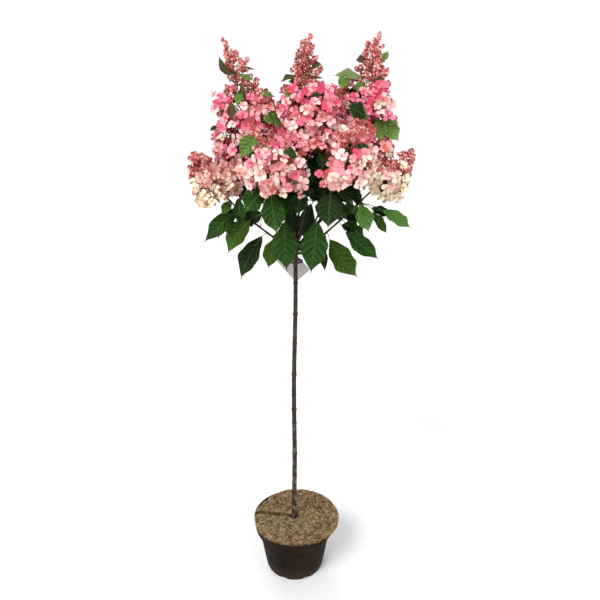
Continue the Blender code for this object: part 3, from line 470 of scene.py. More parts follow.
def named(tree, label, kind="FLOAT"):
    return addNode(tree, "GeometryNodeInputNamedAttribute", {"Name": label}, data_type=kind)


def chance(tree, seed, least, most, kind="FLOAT"):
    first, out = {"FLOAT": (2, 1), "INT": (4, 2)}[kind]
    return addNode(tree, "FunctionNodeRandomValue", {"Seed": seed, first: least, first + 1: most},
                   data_type=kind).outputs[out]


def instanced(tree, points, shapes, kind, rotation, scale):   # shapes picked by kind, made real
    shelf = addNode(tree, "GeometryNodeCollectionInfo", {"Collection": shapes, "Separate Children": True,
                                                         "Reset Children": True})
    placed = addNode(tree, "GeometryNodeInstanceOnPoints", {
        "Points": points, "Instance": shelf, "Pick Instance": True, "Instance Index": kind,
        "Rotation": rotation, "Scale": scale})
    return addNode(tree, "GeometryNodeRealizeInstances", {"Geometry": placed})


def coated(tree, shape, material, **more):
    return addNode(tree, "GeometryNodeSetMaterial", {"Geometry": shape, "Material": material, **more})


def shapeTree(name, inputs, build):      # a Geometry Nodes tree with named inputs
    tree = bpy.data.node_groups.new(name, "GeometryNodeTree")
    for way in ("INPUT", "OUTPUT"):
        tree.interface.new_socket("Geometry", in_out=way, socket_type="NodeSocketGeometry")
    addInputs(tree, inputs)
    start, end = tree.nodes.new("NodeGroupInput"), tree.nodes.new("NodeGroupOutput")
    tree.links.new(build(tree, start.outputs).outputs[0], end.inputs[0])
    return tree


def scattering(tree, given):             # one shape on each point, turned to the point's facing and roll
    facing, roll = named(tree, "facing", "FLOAT_VECTOR"), named(tree, "roll")
    aim = addNode(tree, "FunctionNodeAlignRotationToVector", {"Vector": facing}, axis="Z")
    spin = addNode(tree, "FunctionNodeAxisAngleToRotation", {"Axis": (0.0, 0.0, 1.0), "Angle": roll})
    turn = addNode(tree, "FunctionNodeRotateRotation", {"Rotation": aim, "Rotate By": spin},
                   rotation_space="LOCAL")
    scale = maths(tree, "MULTIPLY", named(tree, "size"), given["Size"])
    real = instanced(tree, given["Geometry"], given["Shapes"], named(tree, "kind", "INT"), turn, scale)
    blade = coated(tree, real, given["Blade"])
    return coated(tree, blade, given["Throat"], Selection=named(tree, "throat", "BOOLEAN"))


def limbing(tree, given):                # a round limb along every line, as thick as its points say
    width = maths(tree, "MULTIPLY", named(tree, "size"), given["Thickness"])
    lines = addNode(tree, "GeometryNodeMeshToCurve", {"Mesh": given["Geometry"]})
    ring = addNode(tree, "GeometryNodeCurvePrimitiveCircle", {"Resolution": given["Sides"], "Radius": 1.0})
    limbs = addNode(tree, "GeometryNodeCurveToMesh", {"Curve": lines, "Profile Curve": ring, "Scale": width,
                                                      "Fill Caps": True})
    smooth = addNode(tree, "GeometryNodeSetShadeSmooth", {"Geometry": limbs})
    real = addNode(tree, "GeometryNodeRealizeInstances", {"Geometry": smooth})
    return coated(tree, real, given["Material"])


def strewing(tree, given):               # strands strewn over a surface, lying nearly flat on it
    strewn = addNode(tree, "GeometryNodeDistributePointsOnFaces", {
        "Mesh": given["Geometry"], "Density": given["Density"], "Seed": given["Seed"]})
    yaw = chance(tree, given["Seed"], 0.0, math.tau)
    tip = chance(tree, 7, maths(tree, "SUBTRACT", 0.0, given["Tilt"]), given["Tilt"])
    turn = addNode(tree, "ShaderNodeCombineXYZ", {"X": tip, "Y": tip, "Z": yaw})
    local = addNode(tree, "FunctionNodeEulerToRotation", {"Euler": turn})
    whole = addNode(tree, "FunctionNodeRotateRotation", {"Rotation": strewn.outputs["Rotation"],
                                                         "Rotate By": local}, rotation_space="LOCAL")
    scale = chance(tree, 3, given["Shortest"], given["Longest"])
    kind = chance(tree, 5, 0, given["Last Kind"], "INT")
    real = instanced(tree, strewn, given["Strands"], kind, whole, scale)
    return coated(tree, real, given["Material"])


scatterTree = shapeTree("scatterOnPoints", (
    ("Shapes", "Collection", None), ("Size", "Float", 1.0), ("Blade", "Material", None),
    ("Throat", "Material", None)), scattering)
limbTree = shapeTree("limbsAlongLines", (
    ("Sides", "Int", 5), ("Thickness", "Float", 1.0), ("Material", "Material", None)), limbing)
fibreTree = shapeTree("strandsOverSurface", (
    ("Strands", "Collection", None), ("Density", "Float", 1000.0), ("Shortest", "Float", 0.6),
    ("Longest", "Float", 1.3), ("Tilt", "Float", 0.2), ("Seed", "Int", 1), ("Last Kind", "Int", 4),
    ("Material", "Material", None)), strewing)


def grown(name, carrier, tree, values):  # runs a tree on a carrier and keeps a plain mesh
    keys = {item.name: item.identifier for item in tree.interface.items_tree if item.in_out == "INPUT"}
    modifier = carrier.modifiers.new(tree.name, "NODES")
    modifier.node_group = tree
    for label, value in values.items():
        modifier[keys[label]] = value
    graph = bpy.context.evaluated_depsgraph_get()
    mesh = bpy.data.meshes.new_from_object(carrier.evaluated_get(graph))
    mesh.name = name
    carrier.modifiers.remove(modifier)
    bpy.data.objects.remove(carrier, do_unlink=True)
    for label in ("facing", "roll", "size", "kind"):
        if label in mesh.attributes:
            mesh.attributes.remove(mesh.attributes[label])
    return inScene(name, mesh)


def pointsCarrier(name, rows):           # each row is place, facing, roll, size and kind
    mesh = bpy.data.meshes.new(name)
    mesh.from_pydata([tuple(row[0]) for row in rows], [], [])
    facings = np.array([tuple(row[1]) for row in rows]).ravel()
    mesh.attributes.new("facing", "FLOAT_VECTOR", "POINT").data.foreach_set("vector", facings)
    for label, kind, column in (("roll", "FLOAT", 2), ("size", "FLOAT", 3), ("kind", "INT", 4)):
        values = np.array([row[column] for row in rows])
        mesh.attributes.new(label, kind, "POINT").data.foreach_set("value", values)
    return inScene(name, mesh)


def linesCarrier(name, lines):           # each line is points and thicknesses
    points, edges, sizes = [], [], []
    for line, thick in lines:
        first = len(points)
        points.extend(tuple(p) for p in line)
        sizes.extend(thick)
        edges.extend((first + i, first + i + 1) for i in range(len(line) - 1))
    mesh = bpy.data.meshes.new(name)
    mesh.from_pydata(points, edges, [])
    mesh.attributes.new("size", "FLOAT", "POINT").data.foreach_set("value", sizes)
    return inScene(name, mesh)


def shapeShelf(name, shapes):            # a collection of the shapes that a tree picks from
    shelf = bpy.data.collections.new(name)
    bpy.context.scene.collection.children.link(shelf)
    for i, (points, faces, throats) in enumerate(shapes):
        mesh = bpy.data.meshes.new(f"{name}{i}")
        mesh.from_pydata(points, [], faces)
        mesh.shade_smooth()
        mesh.attributes.new("throat", "BOOLEAN", "FACE").data.foreach_set("value", throats)
        shelf.objects.link(bpy.data.objects.new(f"{name}{i}", mesh))
    return shelf


def clearShelf(shelf):
    for shape in list(shelf.objects):
        bpy.data.objects.remove(shape, do_unlink=True)
    bpy.data.collections.remove(shelf)


def finishOf(name, roughness, specular, colour=None):
    material = bpy.data.materials.new(name)
    material.use_nodes = True
    tree = material.node_tree
    shader = tree.nodes["Principled BSDF"]
    shader.inputs["Roughness"].default_value = roughness
    shader.inputs["Specular IOR Level"].default_value = specular
    if colour:
        shader.inputs["Base Color"].default_value = colour
    return material, tree, shader.inputs


def objectPlace(tree):
    return addNode(tree, "ShaderNodeTexCoord").outputs["Object"]


def emboss(tree, shader, height, strength, distance):
    relief = addNode(tree, "ShaderNodeBump", {"Height": height, "Strength": strength, "Distance": distance})
    tree.links.new(relief.outputs[0], shader["Normal"])


def mottleGroup():                       # cloudy patches with fine grain over them
    group = bpy.data.node_groups.new("mottle", "ShaderNodeTree")
    addInputs(group, (("Coordinates", "Vector", None), ("Dark", "Color", None), ("Light", "Color", None),
                      ("Patch Scale", "Float", 20.0), ("Grain Scale", "Float", 400.0),
                      ("Grain Share", "Float", 0.4)))
    for label, kind in (("Colour", "Color"), ("Height", "Float")):
        group.interface.new_socket(label, in_out="OUTPUT", socket_type="NodeSocket" + kind)
    start, end = group.nodes.new("NodeGroupInput"), group.nodes.new("NodeGroupOutput")
    given = start.outputs
    patches = noised(group, given["Coordinates"], given["Patch Scale"], 4.0)
    grain = noised(group, given["Coordinates"], given["Grain Scale"], 3.0)
    blend = addNode(group, "ShaderNodeMix", {"Factor": given["Grain Share"], 2: patches, 3: grain},
                    data_type="FLOAT")
    colour = blended(group, ranged(group, blend, 0.32, 0.68), given["Dark"], given["Light"])
    group.links.new(colour, end.inputs["Colour"])
    group.links.new(blend.outputs[0], end.inputs["Height"])
    return group


mottle = mottleGroup()


def mottled(name, dark, light, patch, grain, share, roughness, bump, distance, stretch=(1, 1, 1),
            specular=0.5):
    material, tree, shader = finishOf(name, roughness, specular)
    place = objectPlace(tree)
    fit = addNode(tree, "ShaderNodeMapping", {"Vector": place, "Scale": stretch})
    effect = addNode(tree, "ShaderNodeGroup", node_tree=mottle)
    tree.links.new(fit.outputs[0], effect.inputs["Coordinates"])
    for key, value in (("Dark", screenColour(dark)), ("Light", screenColour(light)), ("Patch Scale", patch),
                       ("Grain Scale", grain), ("Grain Share", share)):
        effect.inputs[key].default_value = value
    emboss(tree, shader, effect.outputs["Height"], bump, distance)
    tree.links.new(effect.outputs["Colour"], shader["Base Color"])
    return material, tree, shader, place, effect.outputs["Colour"]


def softFinish(name, colour, roughness, grain, bump, specular):   # one plain colour with a fine relief
    material, tree, shader = finishOf(name, roughness, specular, screenColour(colour))
    emboss(tree, shader, noised(tree, objectPlace(tree), grain), bump, 0.0006)
    return material


def stemShare(height):
    foot, head = plant["stemFoot"], plant["stemHead"]
    return (height - foot[2]) / (head[2] - foot[2])


def stemPoint(height):
    foot, head, share = plant["stemFoot"], plant["stemHead"], stemShare(height)
    sway = math.sin(math.pi * share)
    return Vector((between(foot[0], head[0], share) + 0.0022 * sway * math.sin(share * 9.0),
                   between(foot[1], head[1], share) + 0.0025 * sway * math.sin(share * 7.0), height))


def stemRadius(height):
    share, (fork, width, swelling) = stemShare(height), plant["swelling"]
    flare = 0.0022 * max(0.0, 1.0 - share / 0.04) ** 2
    crown = swelling * hump(height - fork, width)
    return between(plant["footRadius"], plant["headRadius"], share) + flare + crown


def boughCourse(shoot):
    foot, tip, root = Vector(shoot.foot), Vector(shoot.tip), stemPoint(shoot.leave)
    outward = levelled(foot - root)
    start = root + outward * (stemRadius(shoot.leave) + plant["buttLength"])
    climb = (foot - start).normalized()
    first = start + (climb + outward * 0.15).normalized() * (foot - start).length * 0.4
    second = foot - ((tip - foot).normalized() + climb).normalized() * (foot - start).length * 0.35
    return start, first, second, foot


def coursePoint(course, share):
    a, b, c, d = course
    rest = 1.0 - share
    return a * rest**3 + b * 3 * rest**2 * share + c * 3 * rest * share**2 + d * share**3


def panicleRadius(share, widest):        # round at the foot, then even, then tapering to the tip
    rounded, even = 0.15, 0.45
    if share < rounded:
        return widest * (0.62 + 0.38 * math.sin(share / rounded * math.pi / 2))
    return widest if share < even else widest * ((1.0 - share) / (1.0 - even)) ** 0.75


def panicleAxis(shoot, share):           # the upper ones bow outward
    foot, tip = Vector(shoot.foot), Vector(shoot.tip)
    lean = Vector((tip.x - foot.x, tip.y - foot.y, 0.0))
    bow = -0.20 if isUpper(shoot) else 0.0
    return between(foot, tip, share) + lean * bow * 4.0 * share * (1.0 - share)


def isUpper(shoot):
    return shoot.name.startswith("upper")


def isLowSide(shoot):
    return shoot.name in ("lower_left", "lower_right")


def panicleCross(shoot):                 # the axis with two directions across it
    axis = (Vector(shoot.tip) - Vector(shoot.foot)).normalized()
    turn = axis.to_track_quat("Z", "X").to_matrix()
    return axis, turn @ Vector((1, 0, 0)), turn @ Vector((0, 1, 0))


potSizes = {
    "height": 0.176, "rimRadius": 0.131, "rimHeight": 0.046, "bodyRadius": 0.1145,
    "baseRadius": 0.0945, "wall": 0.0026, "sides": 144, "drains": 8, "drainWidth": 0.021,
    "drainHeight": 0.0058, "bulge": 0.0045, "bulgeTurn": 2.6, "bulgeWidth": 0.75, "sharpFrom": 42,
}
potTints = {"plastic": ((20, 14, 10), (43, 32, 24)), "soil": (96, 80, 66)}   # dark and light, then the film


def potOutline():                        # radius and height, from under the base up and in again
    s = potSizes
    base, body, rim, wall, top = s["baseRadius"], s["bodyRadius"], s["rimRadius"], s["wall"], s["height"]
    foot, collar, inner = base - 0.007, top - s["rimHeight"], rim - 2.2 * wall
    outline = [(0.0, 0.0035), (0.040, 0.0035), (foot - 0.010, 0.0030), (foot - 0.004, 0.0), (foot, 0.0),
               (base - 0.002, 0.0022), (base - 0.0006, 0.0050)]
    for i in range(15):                  # the body swells a little between base and collar
        share = i / 14
        outline.append((between(base, body, share) + 0.0006 * math.sin(math.pi * share),
                        between(0.008, collar - 0.003, share)))
    outline += [(body + 0.0006, collar - 0.001), (body + 0.0042, collar + 0.0022),
                (body + 0.0090, collar + 0.0062), (rim - 0.0040, collar + 0.0105)]
    outline += [(between(rim - 0.0034, rim - 0.0004, i / 4), between(collar + 0.014, top - 0.0062, i / 4))
                for i in range(5)]
    return outline + [(rim + 0.0002, top - 0.0050), (rim + 0.0004, top - 0.0022),
                      (rim - 0.0008, top - 0.0006), (rim - 0.0022, top), (inner, top - 0.0003),
                      (inner - 0.0004, top - 0.0030), (body - wall, collar - 0.004),
                      (base - wall, 0.010), (foot - wall, wall + 0.0010), (0.0, wall + 0.0010)]


def makePot(material):
    heap, s, rows = newHeap(), potSizes, []
    for radius, height in potOutline():
        high = float(eased(s["height"] - s["rimHeight"] - 0.004, s["height"] - 0.02, height))
        row = []
        for turn in turnsOf(s["sides"]):
            away = (turn * s["drains"] / math.tau) % 1.0 - 0.5
            drained = abs(away) * math.tau * s["baseRadius"] / s["drains"] < s["drainWidth"] / 2
            z, wide = height, radius
            if drained and radius > s["baseRadius"] - 0.012 and height < s["drainHeight"]:
                z = s["drainHeight"] + 0.15 * height
            if radius > s["bodyRadius"] - 0.004:     # the collar is pressed out of round at the back left
                wide += high * s["bulge"] * hump(turn - s["bulgeTurn"], s["bulgeWidth"])
            row.append((wide * math.cos(turn), wide * math.sin(turn), z))
        rows.append(row)
    gridInto(heap, rows, closed=True)
    pot = pieceFrom("potShell", heap, material)
    mergeClose(pot, 0.00002, s["sharpFrom"])
    return pot


def potFinish():                         # dull in patches, with a film of soil near the floor
    material, tree, shader, place, colour = mottled(
        "potPlastic", *potTints["plastic"], 9.0, 260.0, 0.25, 0.6, 0.25, 0.0005, (1, 1, 0.35), specular=0.04)
    dust = noised(tree, place, 26.0, 6.0)
    tree.links.new(ranged(tree, dust, 0.35, 0.7, 0.52, 0.72).outputs[0], shader["Roughness"])
    height = addNode(tree, "ShaderNodeSeparateXYZ", {"Vector": place}).outputs["Z"]
    soil = maths(tree, "MULTIPLY", ranged(tree, height, 0.0, 0.05, 0.5, 0.0), dust)
    tree.links.new(blended(tree, soil, colour, screenColour(potTints["soil"])), shader["Base Color"])
    return material


potShell = makePot(potFinish())
print("pot made")

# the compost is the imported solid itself, with a crumb finish
compostTints = (26, 18, 13), (74, 54, 38)
compostFinish = mottled("compostCrumb", *compostTints, 60.0, 700.0, 0.6, 0.95, 0.8, 0.002)[0]
for place in frame["nodes"]["compost"].material_slots:
    place.material = compostFinish

discSizes = {
    "radius": 0.140, "thickness": 0.0090, "centre": (0.004, -0.010), "bottom": 0.1763,
    "hole": 0.0115, "slitTurn": math.radians(171), "slitWidth": 0.0046, "slitDepth": 0.0066,
    "rings": 60, "sectors": 300, "roughness": 0.0017, "pitDepth": 0.0030,
    # where the edge is drawn in: turn, width, share of the radius
    "drawnIn": ((4.712, 0.80, 0.066), (2.45, 0.50, 0.085), (3.3, 0.40, 0.030)),
}
# the slit's colour is painted shade down in the cut
coirTints = {"mat": ((34, 24, 15), (104, 82, 56)), "moss": (72, 66, 38), "slit": (20, 14, 9)}
fibreSizes = {
    "length": 0.012, "thickness": 0.00036, "segments": 3, "kinds": 5, "tilt": 0.10,
    "shortest": 0.35, "longest": 1.25, "sheetRings": 45, "sheetSectors": 160,
    # colour, strands for a square metre, seed, clear of the slit, least and most moss it grows in
    "tints": (
        ("Straw", (232, 210, 166), 42000, 4, 0.0085, -9.0, 9.0),
        ("Brown", (172, 136, 96), 46000, 9, 0.0022, -9.0, 9.0),
        ("Russet", (156, 106, 74), 40000, 14, 0.0022, -9.0, 0.45),
        ("Olive", (172, 160, 112), 56000, 21, 0.0060, 0.25, 9.0)),
}


def fromSlit(x, y):                      # how far along the slit a place is, and how far beside it
    away = Vector((x - plant["stemFoot"][0], y - plant["stemFoot"][1]))
    turn = discSizes["slitTurn"]
    along = away.x * math.cos(turn) + away.y * math.sin(turn)
    across = -away.x * math.sin(turn) + away.y * math.cos(turn)
    return along, across + 0.0022 * math.sin(along * 90.0) * float(eased(0.01, 0.05, along))


def discReach(turn):                     # the ragged edge, drawn in at the front and where the rim shows
    reach = 1.0 + 0.008 * bumpy(math.cos(turn) * 9, math.sin(turn) * 9, 1.0)
    reach += 0.008 * bumpy(math.cos(turn) * 60, math.sin(turn) * 60, 4.0)
    for where, width, depth in discSizes["drawnIn"]:
        reach -= depth * hump(turn - where, width)
    return discSizes["radius"] * reach


def discPlace(turn, share, extra=0.0):   # from the edge of the stem's hole to just past the disc's edge
    s, foot, reach = discSizes, plant["stemFoot"], discReach(turn) + extra
    return (between(foot[0] + s["hole"] * math.cos(turn), s["centre"][0] + reach * math.cos(turn), share),
            between(foot[1] + s["hole"] * math.sin(turn), s["centre"][1] + reach * math.sin(turn), share))


def pitted(x, y):                        # from 0 on the mat to 1 in the middle of a pit
    return float(eased(0.24, 0.44, bumpy(x * 150, y * 110, 3.3) + 0.3 * bumpy(x * 30, y * 30, 8.0)))


def mossy(x, y):                         # how green the mat is, most so in front of the stem to the left
    away = ((x + 0.045) / 0.085) ** 2 + ((y + 0.045) / 0.050) ** 2
    return math.exp(-away) + 0.35 * bumpy(x * 45, y * 45, 6.0)


def discTop(x, y):                       # how high the coir stands above the disc's flat bottom
    s = discSizes
    lump = bumpy(x * 34, y * 34, 0.3) * 0.7 + bumpy(x * 120, y * 120, 2.0) * 0.5
    high = s["thickness"] + s["roughness"] * (lump + 0.6 * bumpy(x * 420, y * 420, 5.0))
    high -= s["pitDepth"] * pitted(x, y)
    along, across = fromSlit(x, y)
    if along > 0:                        # the slit, a notch where it leaves the hole, and its lifted lip
        high -= s["slitDepth"] * hump(across, s["slitWidth"]) * float(eased(0.0, 0.012, along))
        high -= 0.0030 * math.exp(-((along - 0.016) / 0.012) ** 2 - (across / 0.009) ** 2)
        high += 0.0012 * hump(across + 0.006, 0.004) * float(1.0 - eased(0.07, 0.12, along))
    return high


def makeDisc(material):
    s, heap, rows, under = discSizes, newHeap(), [], []
    for i in range(s["rings"] + 1):
        share = (i / s["rings"]) ** 0.9
        edge = 0.0030 * float(eased(0.955, 1.0, share)) + 0.0020 * float(1.0 - eased(0.0, 0.06, share))
        places = [discPlace(turn, share) for turn in turnsOf(s["sectors"])]
        rows.append([(x, y, s["bottom"] + max(0.0012, discTop(x, y) - edge)) for x, y in places])
        under.append([(x, y, s["bottom"]) for x, y in places])
    gridInto(heap, rows + [under[-1], under[0], rows[0]], closed=True)
    disc = pieceFrom("coirDisc", heap, material)
    mergeClose(disc, 0.00001)
    return disc


def discFinish():                        # greener to one side, with painted shade along the whole slit
    material, tree, shader, place, colour = mottled(
        "coirMat", *coirTints["mat"], 46.0, 900.0, 0.62, 0.95, 1.0, 0.0016, specular=0.15)
    side = addNode(tree, "ShaderNodeMapping", {"Vector": place, "Rotation": (0.0, 0.0, math.radians(35)),
                                               "Scale": (7, 7, 7)})
    ramp = addNode(tree, "ShaderNodeSeparateXYZ", {"Vector": side})
    moss = ranged(tree, maths(tree, "ADD", ramp, noised(tree, place, 12.0)), -0.4, 0.9, 0.55, 0.0)
    mossed = blended(tree, moss, colour, screenColour(coirTints["moss"]))
    foot, turn = plant["stemFoot"], discSizes["slitTurn"]
    moved = addNode(tree, "ShaderNodeVectorMath", {0: place, 1: (foot[0], foot[1], 0.0)},
                    operation="SUBTRACT")
    ways = (-math.sin(turn), math.cos(turn), 0.0), (math.cos(turn), math.sin(turn), 0.0)
    beside, along = (addNode(tree, "ShaderNodeVectorMath", {0: moved, 1: way},
                             operation="DOT_PRODUCT").outputs["Value"] for way in ways)
    # painted shade: the slit colour is blended in along the slit, strongest close beside it
    near = ranged(tree, maths(tree, "ABSOLUTE", beside), 0.002, 0.0085, 0.85, 0.0)
    shade = maths(tree, "MULTIPLY", near, ranged(tree, along, 0.0, 0.012))
    tree.links.new(blended(tree, shade, mossed, screenColour(coirTints["slit"])), shader["Base Color"])
    return material


def strandShapes():                      # bent strands, each a thin three-sided tube
    rng, made, steps = random.Random(31), [], fibreSizes["segments"]
    wide = fibreSizes["thickness"] / fibreSizes["length"]
    for _ in range(fibreSizes["kinds"]):
        points, faces = [], []
        bend, hook = rng.uniform(-0.5, 0.5), rng.uniform(-0.6, 0.6)
        for i in range(steps + 1):
            share = i / steps - 0.5
            centre = Vector((share, bend * share * share * 1.6 + hook * share**3,
                             0.05 * math.sin(math.pi * (share + 0.5))))
            thin = wide * (1.0 - 0.6 * abs(share * 2) ** 3)
            points += [centre + Vector((0, math.cos(turn), math.sin(turn))) * thin for turn in turnsOf(3)]
        for i in range(steps):
            for k in range(3):
                a, b = i * 3 + k, i * 3 + (k + 1) % 3
                faces.append((a, a + 3, b + 3, b))
        made.append((points, faces, [False] * len(faces)))
    return made


def fibreSheet(clear, least, most):      # the top of the disc where a tint lies: not in the slit or a pit
    heap, rows, last = newHeap(), [], fibreSizes["sheetRings"]

    def grows(x, y):
        along, across = fromSlit(x, y)
        return (along < 0 or abs(across) > clear) and pitted(x, y) < 0.5 and least < mossy(x, y) < most

    for i in range(last + 1):
        drop = 0.0045 if i == last else 0.0
        places = [discPlace(turn, between(0.03, 1.0, i / last), 0.0005)
                  for turn in turnsOf(fibreSizes["sheetSectors"])]
        rows.append([(x, y, discSizes["bottom"] + max(0.001, discTop(x, y)) + 0.0001 - drop)
                     for x, y in places])
    gridInto(heap, rows, closed=True)
    heap["faces"] = [face for face in heap["faces"] if grows(*heap["points"][face[0]][:2])]
    sheet = pieceFrom("fibreSheet", heap)
    mergeClose(sheet, 0.00001)
    if sheet.data.polygons[0].normal.z < 0:
        sheet.data.flip_normals()
    return sheet


def makeFibres():
    shelf, made, s = shapeShelf("strand", strandShapes()), [], fibreSizes
    for label, colour, density, seed, *where in s["tints"]:
        made.append(grown("coirFibres" + label, fibreSheet(*where), fibreTree, {
            "Strands": shelf, "Density": density, "Shortest": s["shortest"] * s["length"],
            "Longest": s["longest"] * s["length"], "Tilt": s["tilt"], "Seed": seed,
            "Last Kind": s["kinds"] - 1,
            "Material": softFinish("coir" + label, colour, 0.9, 900.0, 0.3, 0.2)}))
    clearShelf(shelf)
    return made


coirDisc = makeDisc(discFinish())
coirFibres = makeFibres()
print("coir disc made")

# stem and boughs, with the bark's relief
barkSizes = {
    "ridge": 0.00042, "knotWidth": 0.0075, "knotHeight": 0.0016, "stemSides": 30, "boughSides": 14,
    "stemStep": 0.0025, "scarTurn": 0.4, "boughRows": 23, "boughFoot": 0.0044, "boughEnd": 0.0030,
}
barkTints = {"bark": ((26, 18, 13), (70, 54, 42)), "lichen": (132, 128, 120)}


def barkRelief(depth):
    def relief(place):
        ridges = bumpy(place.x * 520, place.y * 520, place.z * 38)
        patches = noise.noise(Vector((place.x * 160, place.y * 160, place.z * 90)) + Vector((7, 3, 1)))
        return depth * (0.9 * ridges + 0.8 * patches)
    return relief


def scarRelief(place):                   # a pair of scars at each knot, a quarter turn on from the last
    extra = 0.0
    for i, scar in enumerate(plant["knots"]):
        if abs(place.z - scar) < 0.014:
            centre = stemPoint(place.z)
            turn = math.atan2(place.y - centre.y, place.x - centre.x)
            turn = turn - 0.5 * math.pi * i - barkSizes["scarTurn"]
            pair = max(0.0, math.cos(2 * turn)) ** 3
            extra += pair * (0.0016 * hump(place.z - scar - 0.0035, 0.003)
                             - 0.0007 * hump(place.z - scar + 0.003, 0.003))
    return extra


def makeStem(material):
    heap, s = newHeap(), barkSizes
    foot, head = plant["stemFoot"][2], plant["stemHead"][2]
    heights = [foot + s["stemStep"] * i for i in range(int((head - foot) / s["stemStep"]) + 1)] + [head]
    points, radii = [stemPoint(height) for height in heights], []
    for height in heights:
        knot = sum(hump(height - scar, 0.5 * s["knotWidth"]) for scar in plant["knots"])
        radii.append(stemRadius(height) + s["knotHeight"] * 0.7 * knot)
    grain = barkRelief(s["ridge"])
    tubeInto(heap, points, radii, s["stemSides"], lambda place: grain(place) + scarRelief(place))
    return pieceFrom("stemBark", heap, material)


def makeBoughs(material):
    heap, s = newHeap(), barkSizes
    rows = s["boughRows"]
    for shoot in shoots:
        course = boughCourse(shoot)
        level = levelled(course[0] - stemPoint(shoot.leave))
        line = [course[0] - level * (plant["buttLength"] + 0.004), course[0] - level * 0.003]
        line += [coursePoint(course, plant["boughShare"] * i / (rows - 1)) for i in range(rows)]
        radii = [between(s["boughFoot"], s["boughEnd"], i / (rows + 1)) + 0.0005 * hump(i - 13, 1.2)
                 for i in range(rows + 2)]
        tubeInto(heap, line, radii, s["boughSides"], barkRelief(s["ridge"] * 0.6))
    return pieceFrom("boughBark", heap, material)


def barkFinish():                        # pale lichen in spots and worn patches, most near the foot
    material, tree, shader, place, colour = mottled(
        "hydrangeaBark", *barkTints["bark"], 70.0, 420.0, 0.45, 0.82, 0.9, 0.0012, (1, 1, 0.16),
        specular=0.25)
    spots = addNode(tree, "ShaderNodeTexVoronoi", {"Vector": place, "Scale": 150.0}, feature="F1")
    pale = ranged(tree, spots, 0.12, 0.26, 1.0, 0.0)
    height = addNode(tree, "ShaderNodeSeparateXYZ", {"Vector": place}).outputs["Z"]
    worn = ranged(tree, noised(tree, place, 48.0, 5.0), 0.50, 0.62)
    low = ranged(tree, height, 0.20, 0.62, 0.75, 0.10)
    share = maths(tree, "MULTIPLY", maths(tree, "MAXIMUM", worn, pale), low)
    tree.links.new(blended(tree, share, colour, screenColour(barkTints["lichen"])), shader["Base Color"])
    return material


bark = barkFinish()
stemBark = makeStem(bark)
boughBark = makeBoughs(bark)
print("stem and boughs made")

leafSizes = {
    "length": 0.112, "stalkShare": 0.13, "bladeEnd": 0.91,
    "sideVeins": 7, "veinSlope": 0.21, "veined": 0.84,     # veined: the share of the blade with side veins
    "quilt": 0.030, "crinkle": 0.012, "fold": 0.32, "tooth": 0.03, "wavyEdge": 0.06,
    "grid": (60, 12), "smallGrid": (32, 8), "smallBelow": 0.062, "smallStalk": 0.6,
    "stalk": 0.0011, "veinWidth": 0.0030, "veinLift": 0.00035, "tries": 6, "hidden": 11,
}
leafTints = {                            # painted shade in the furrows and at the foot, the leaf's own green, painted light on the crests, then a painted highlight
    "deep": ((15, 36, 3), (20, 45, 5), (28, 57, 8), (54, 92, 28)),
    "mid": ((24, 55, 5), (31, 67, 8), (43, 83, 14), (78, 124, 44)),
    "fresh": ((72, 116, 42), (82, 128, 48), (96, 142, 58), (122, 164, 82)),
    "moss": ((78, 106, 40), (92, 124, 48), (112, 146, 62), (156, 182, 108)),
    "sage": ((112, 132, 78), (124, 146, 90), (140, 160, 106), (166, 184, 134)),
    "olive": ((44, 72, 2), (50, 82, 3), (60, 94, 5), (78, 112, 16)),
    "bronze": ((66, 52, 28), (76, 62, 34), (90, 78, 44), (104, 94, 56)),
}
veinTint = (66, 98, 50)


def leafSurface(leaf, row, u):           # rows run along the side veins, u goes across, arrays of one shape
    s, length = leafSizes, leaf["length"]
    t = row + s["veinSlope"] * np.abs(u) * np.sin(np.pi * row)
    body = np.clip(t / s["bladeEnd"], 0.0, 1.0)
    wide = np.clip(np.sin(np.pi * body ** 1.02), 0, 1) ** 0.85 * (1.0 - 0.30 * eased(0.68, 1.0, body))
    wide = np.maximum(wide, 0.05 * (1.0 - t) / (1.0 - s["bladeEnd"]) * eased(0.5, 0.9, t))
    wavy = 1.0 + s["wavyEdge"] * np.sin(20.0 * t + leaf["phase"] + 1.7 * np.sign(u))
    half = leaf["slimness"] * length * wide * wavy
    depth = np.abs(u)
    ribs = np.abs(np.sin(np.pi * row * s["sideVeins"] / s["veined"])) ** 0.7
    quilt = s["quilt"] * (ribs - 0.5) * (1 - depth ** 6)
    quilt += (s["crinkle"] * np.sin(46.0 * t + 5.0 * np.sin(9.0 * u + leaf["phase"]))
              * np.sin(13.0 * u + 30.0 * t))
    quilt = quilt * length * np.sqrt(np.clip(wide, 0, 1)) * eased(0.0, 0.25, depth)
    ripple = np.sin(math.tau * leaf["ripples"] * t + leaf["phase"] * np.sign(u))
    wave = leaf["wave"] * half * depth ** 2 * ripple
    arch = leaf["sag"] * length * np.sin(np.pi * t) - leaf["curl"] * length * t ** 3 * 0.5
    lift = arch + s["fold"] * half * depth + quilt + wave
    sway = leaf["bow"] * length * np.sin(np.pi * t)
    forward = 0.02 * length * depth ** 2 * wide
    base, along, side, normal = (np.array(leaf[key])[None, :] for key in ("base", "line", "side", "normal"))
    return (base + along * (t + forward / length).reshape(-1, 1) + side * (u * half + sway).reshape(-1, 1)
            + normal * lift.reshape(-1, 1))


def leafAt(base, tip, face, slimness, bow, rng):
    line = tip - base
    side = line.cross(face).normalized()
    return {"base": base, "line": line, "side": side, "normal": side.cross(line).normalized(),
            "length": line.length, "slimness": slimness, "sag": rng.uniform(0.03, 0.07),
            "wave": rng.uniform(0.10, 0.26), "ripples": rng.uniform(1.6, 2.8), "phase": rng.uniform(0, 6),
            "curl": rng.uniform(0.0, 0.10), "bow": bow + rng.uniform(-0.02, 0.02),
            # the last two set how strongly the painted shade runs along the leaf and across it
            "paintedShadeAlong": rng.uniform(0.15, 0.70), "lean": rng.uniform(-0.1, 0.1)}


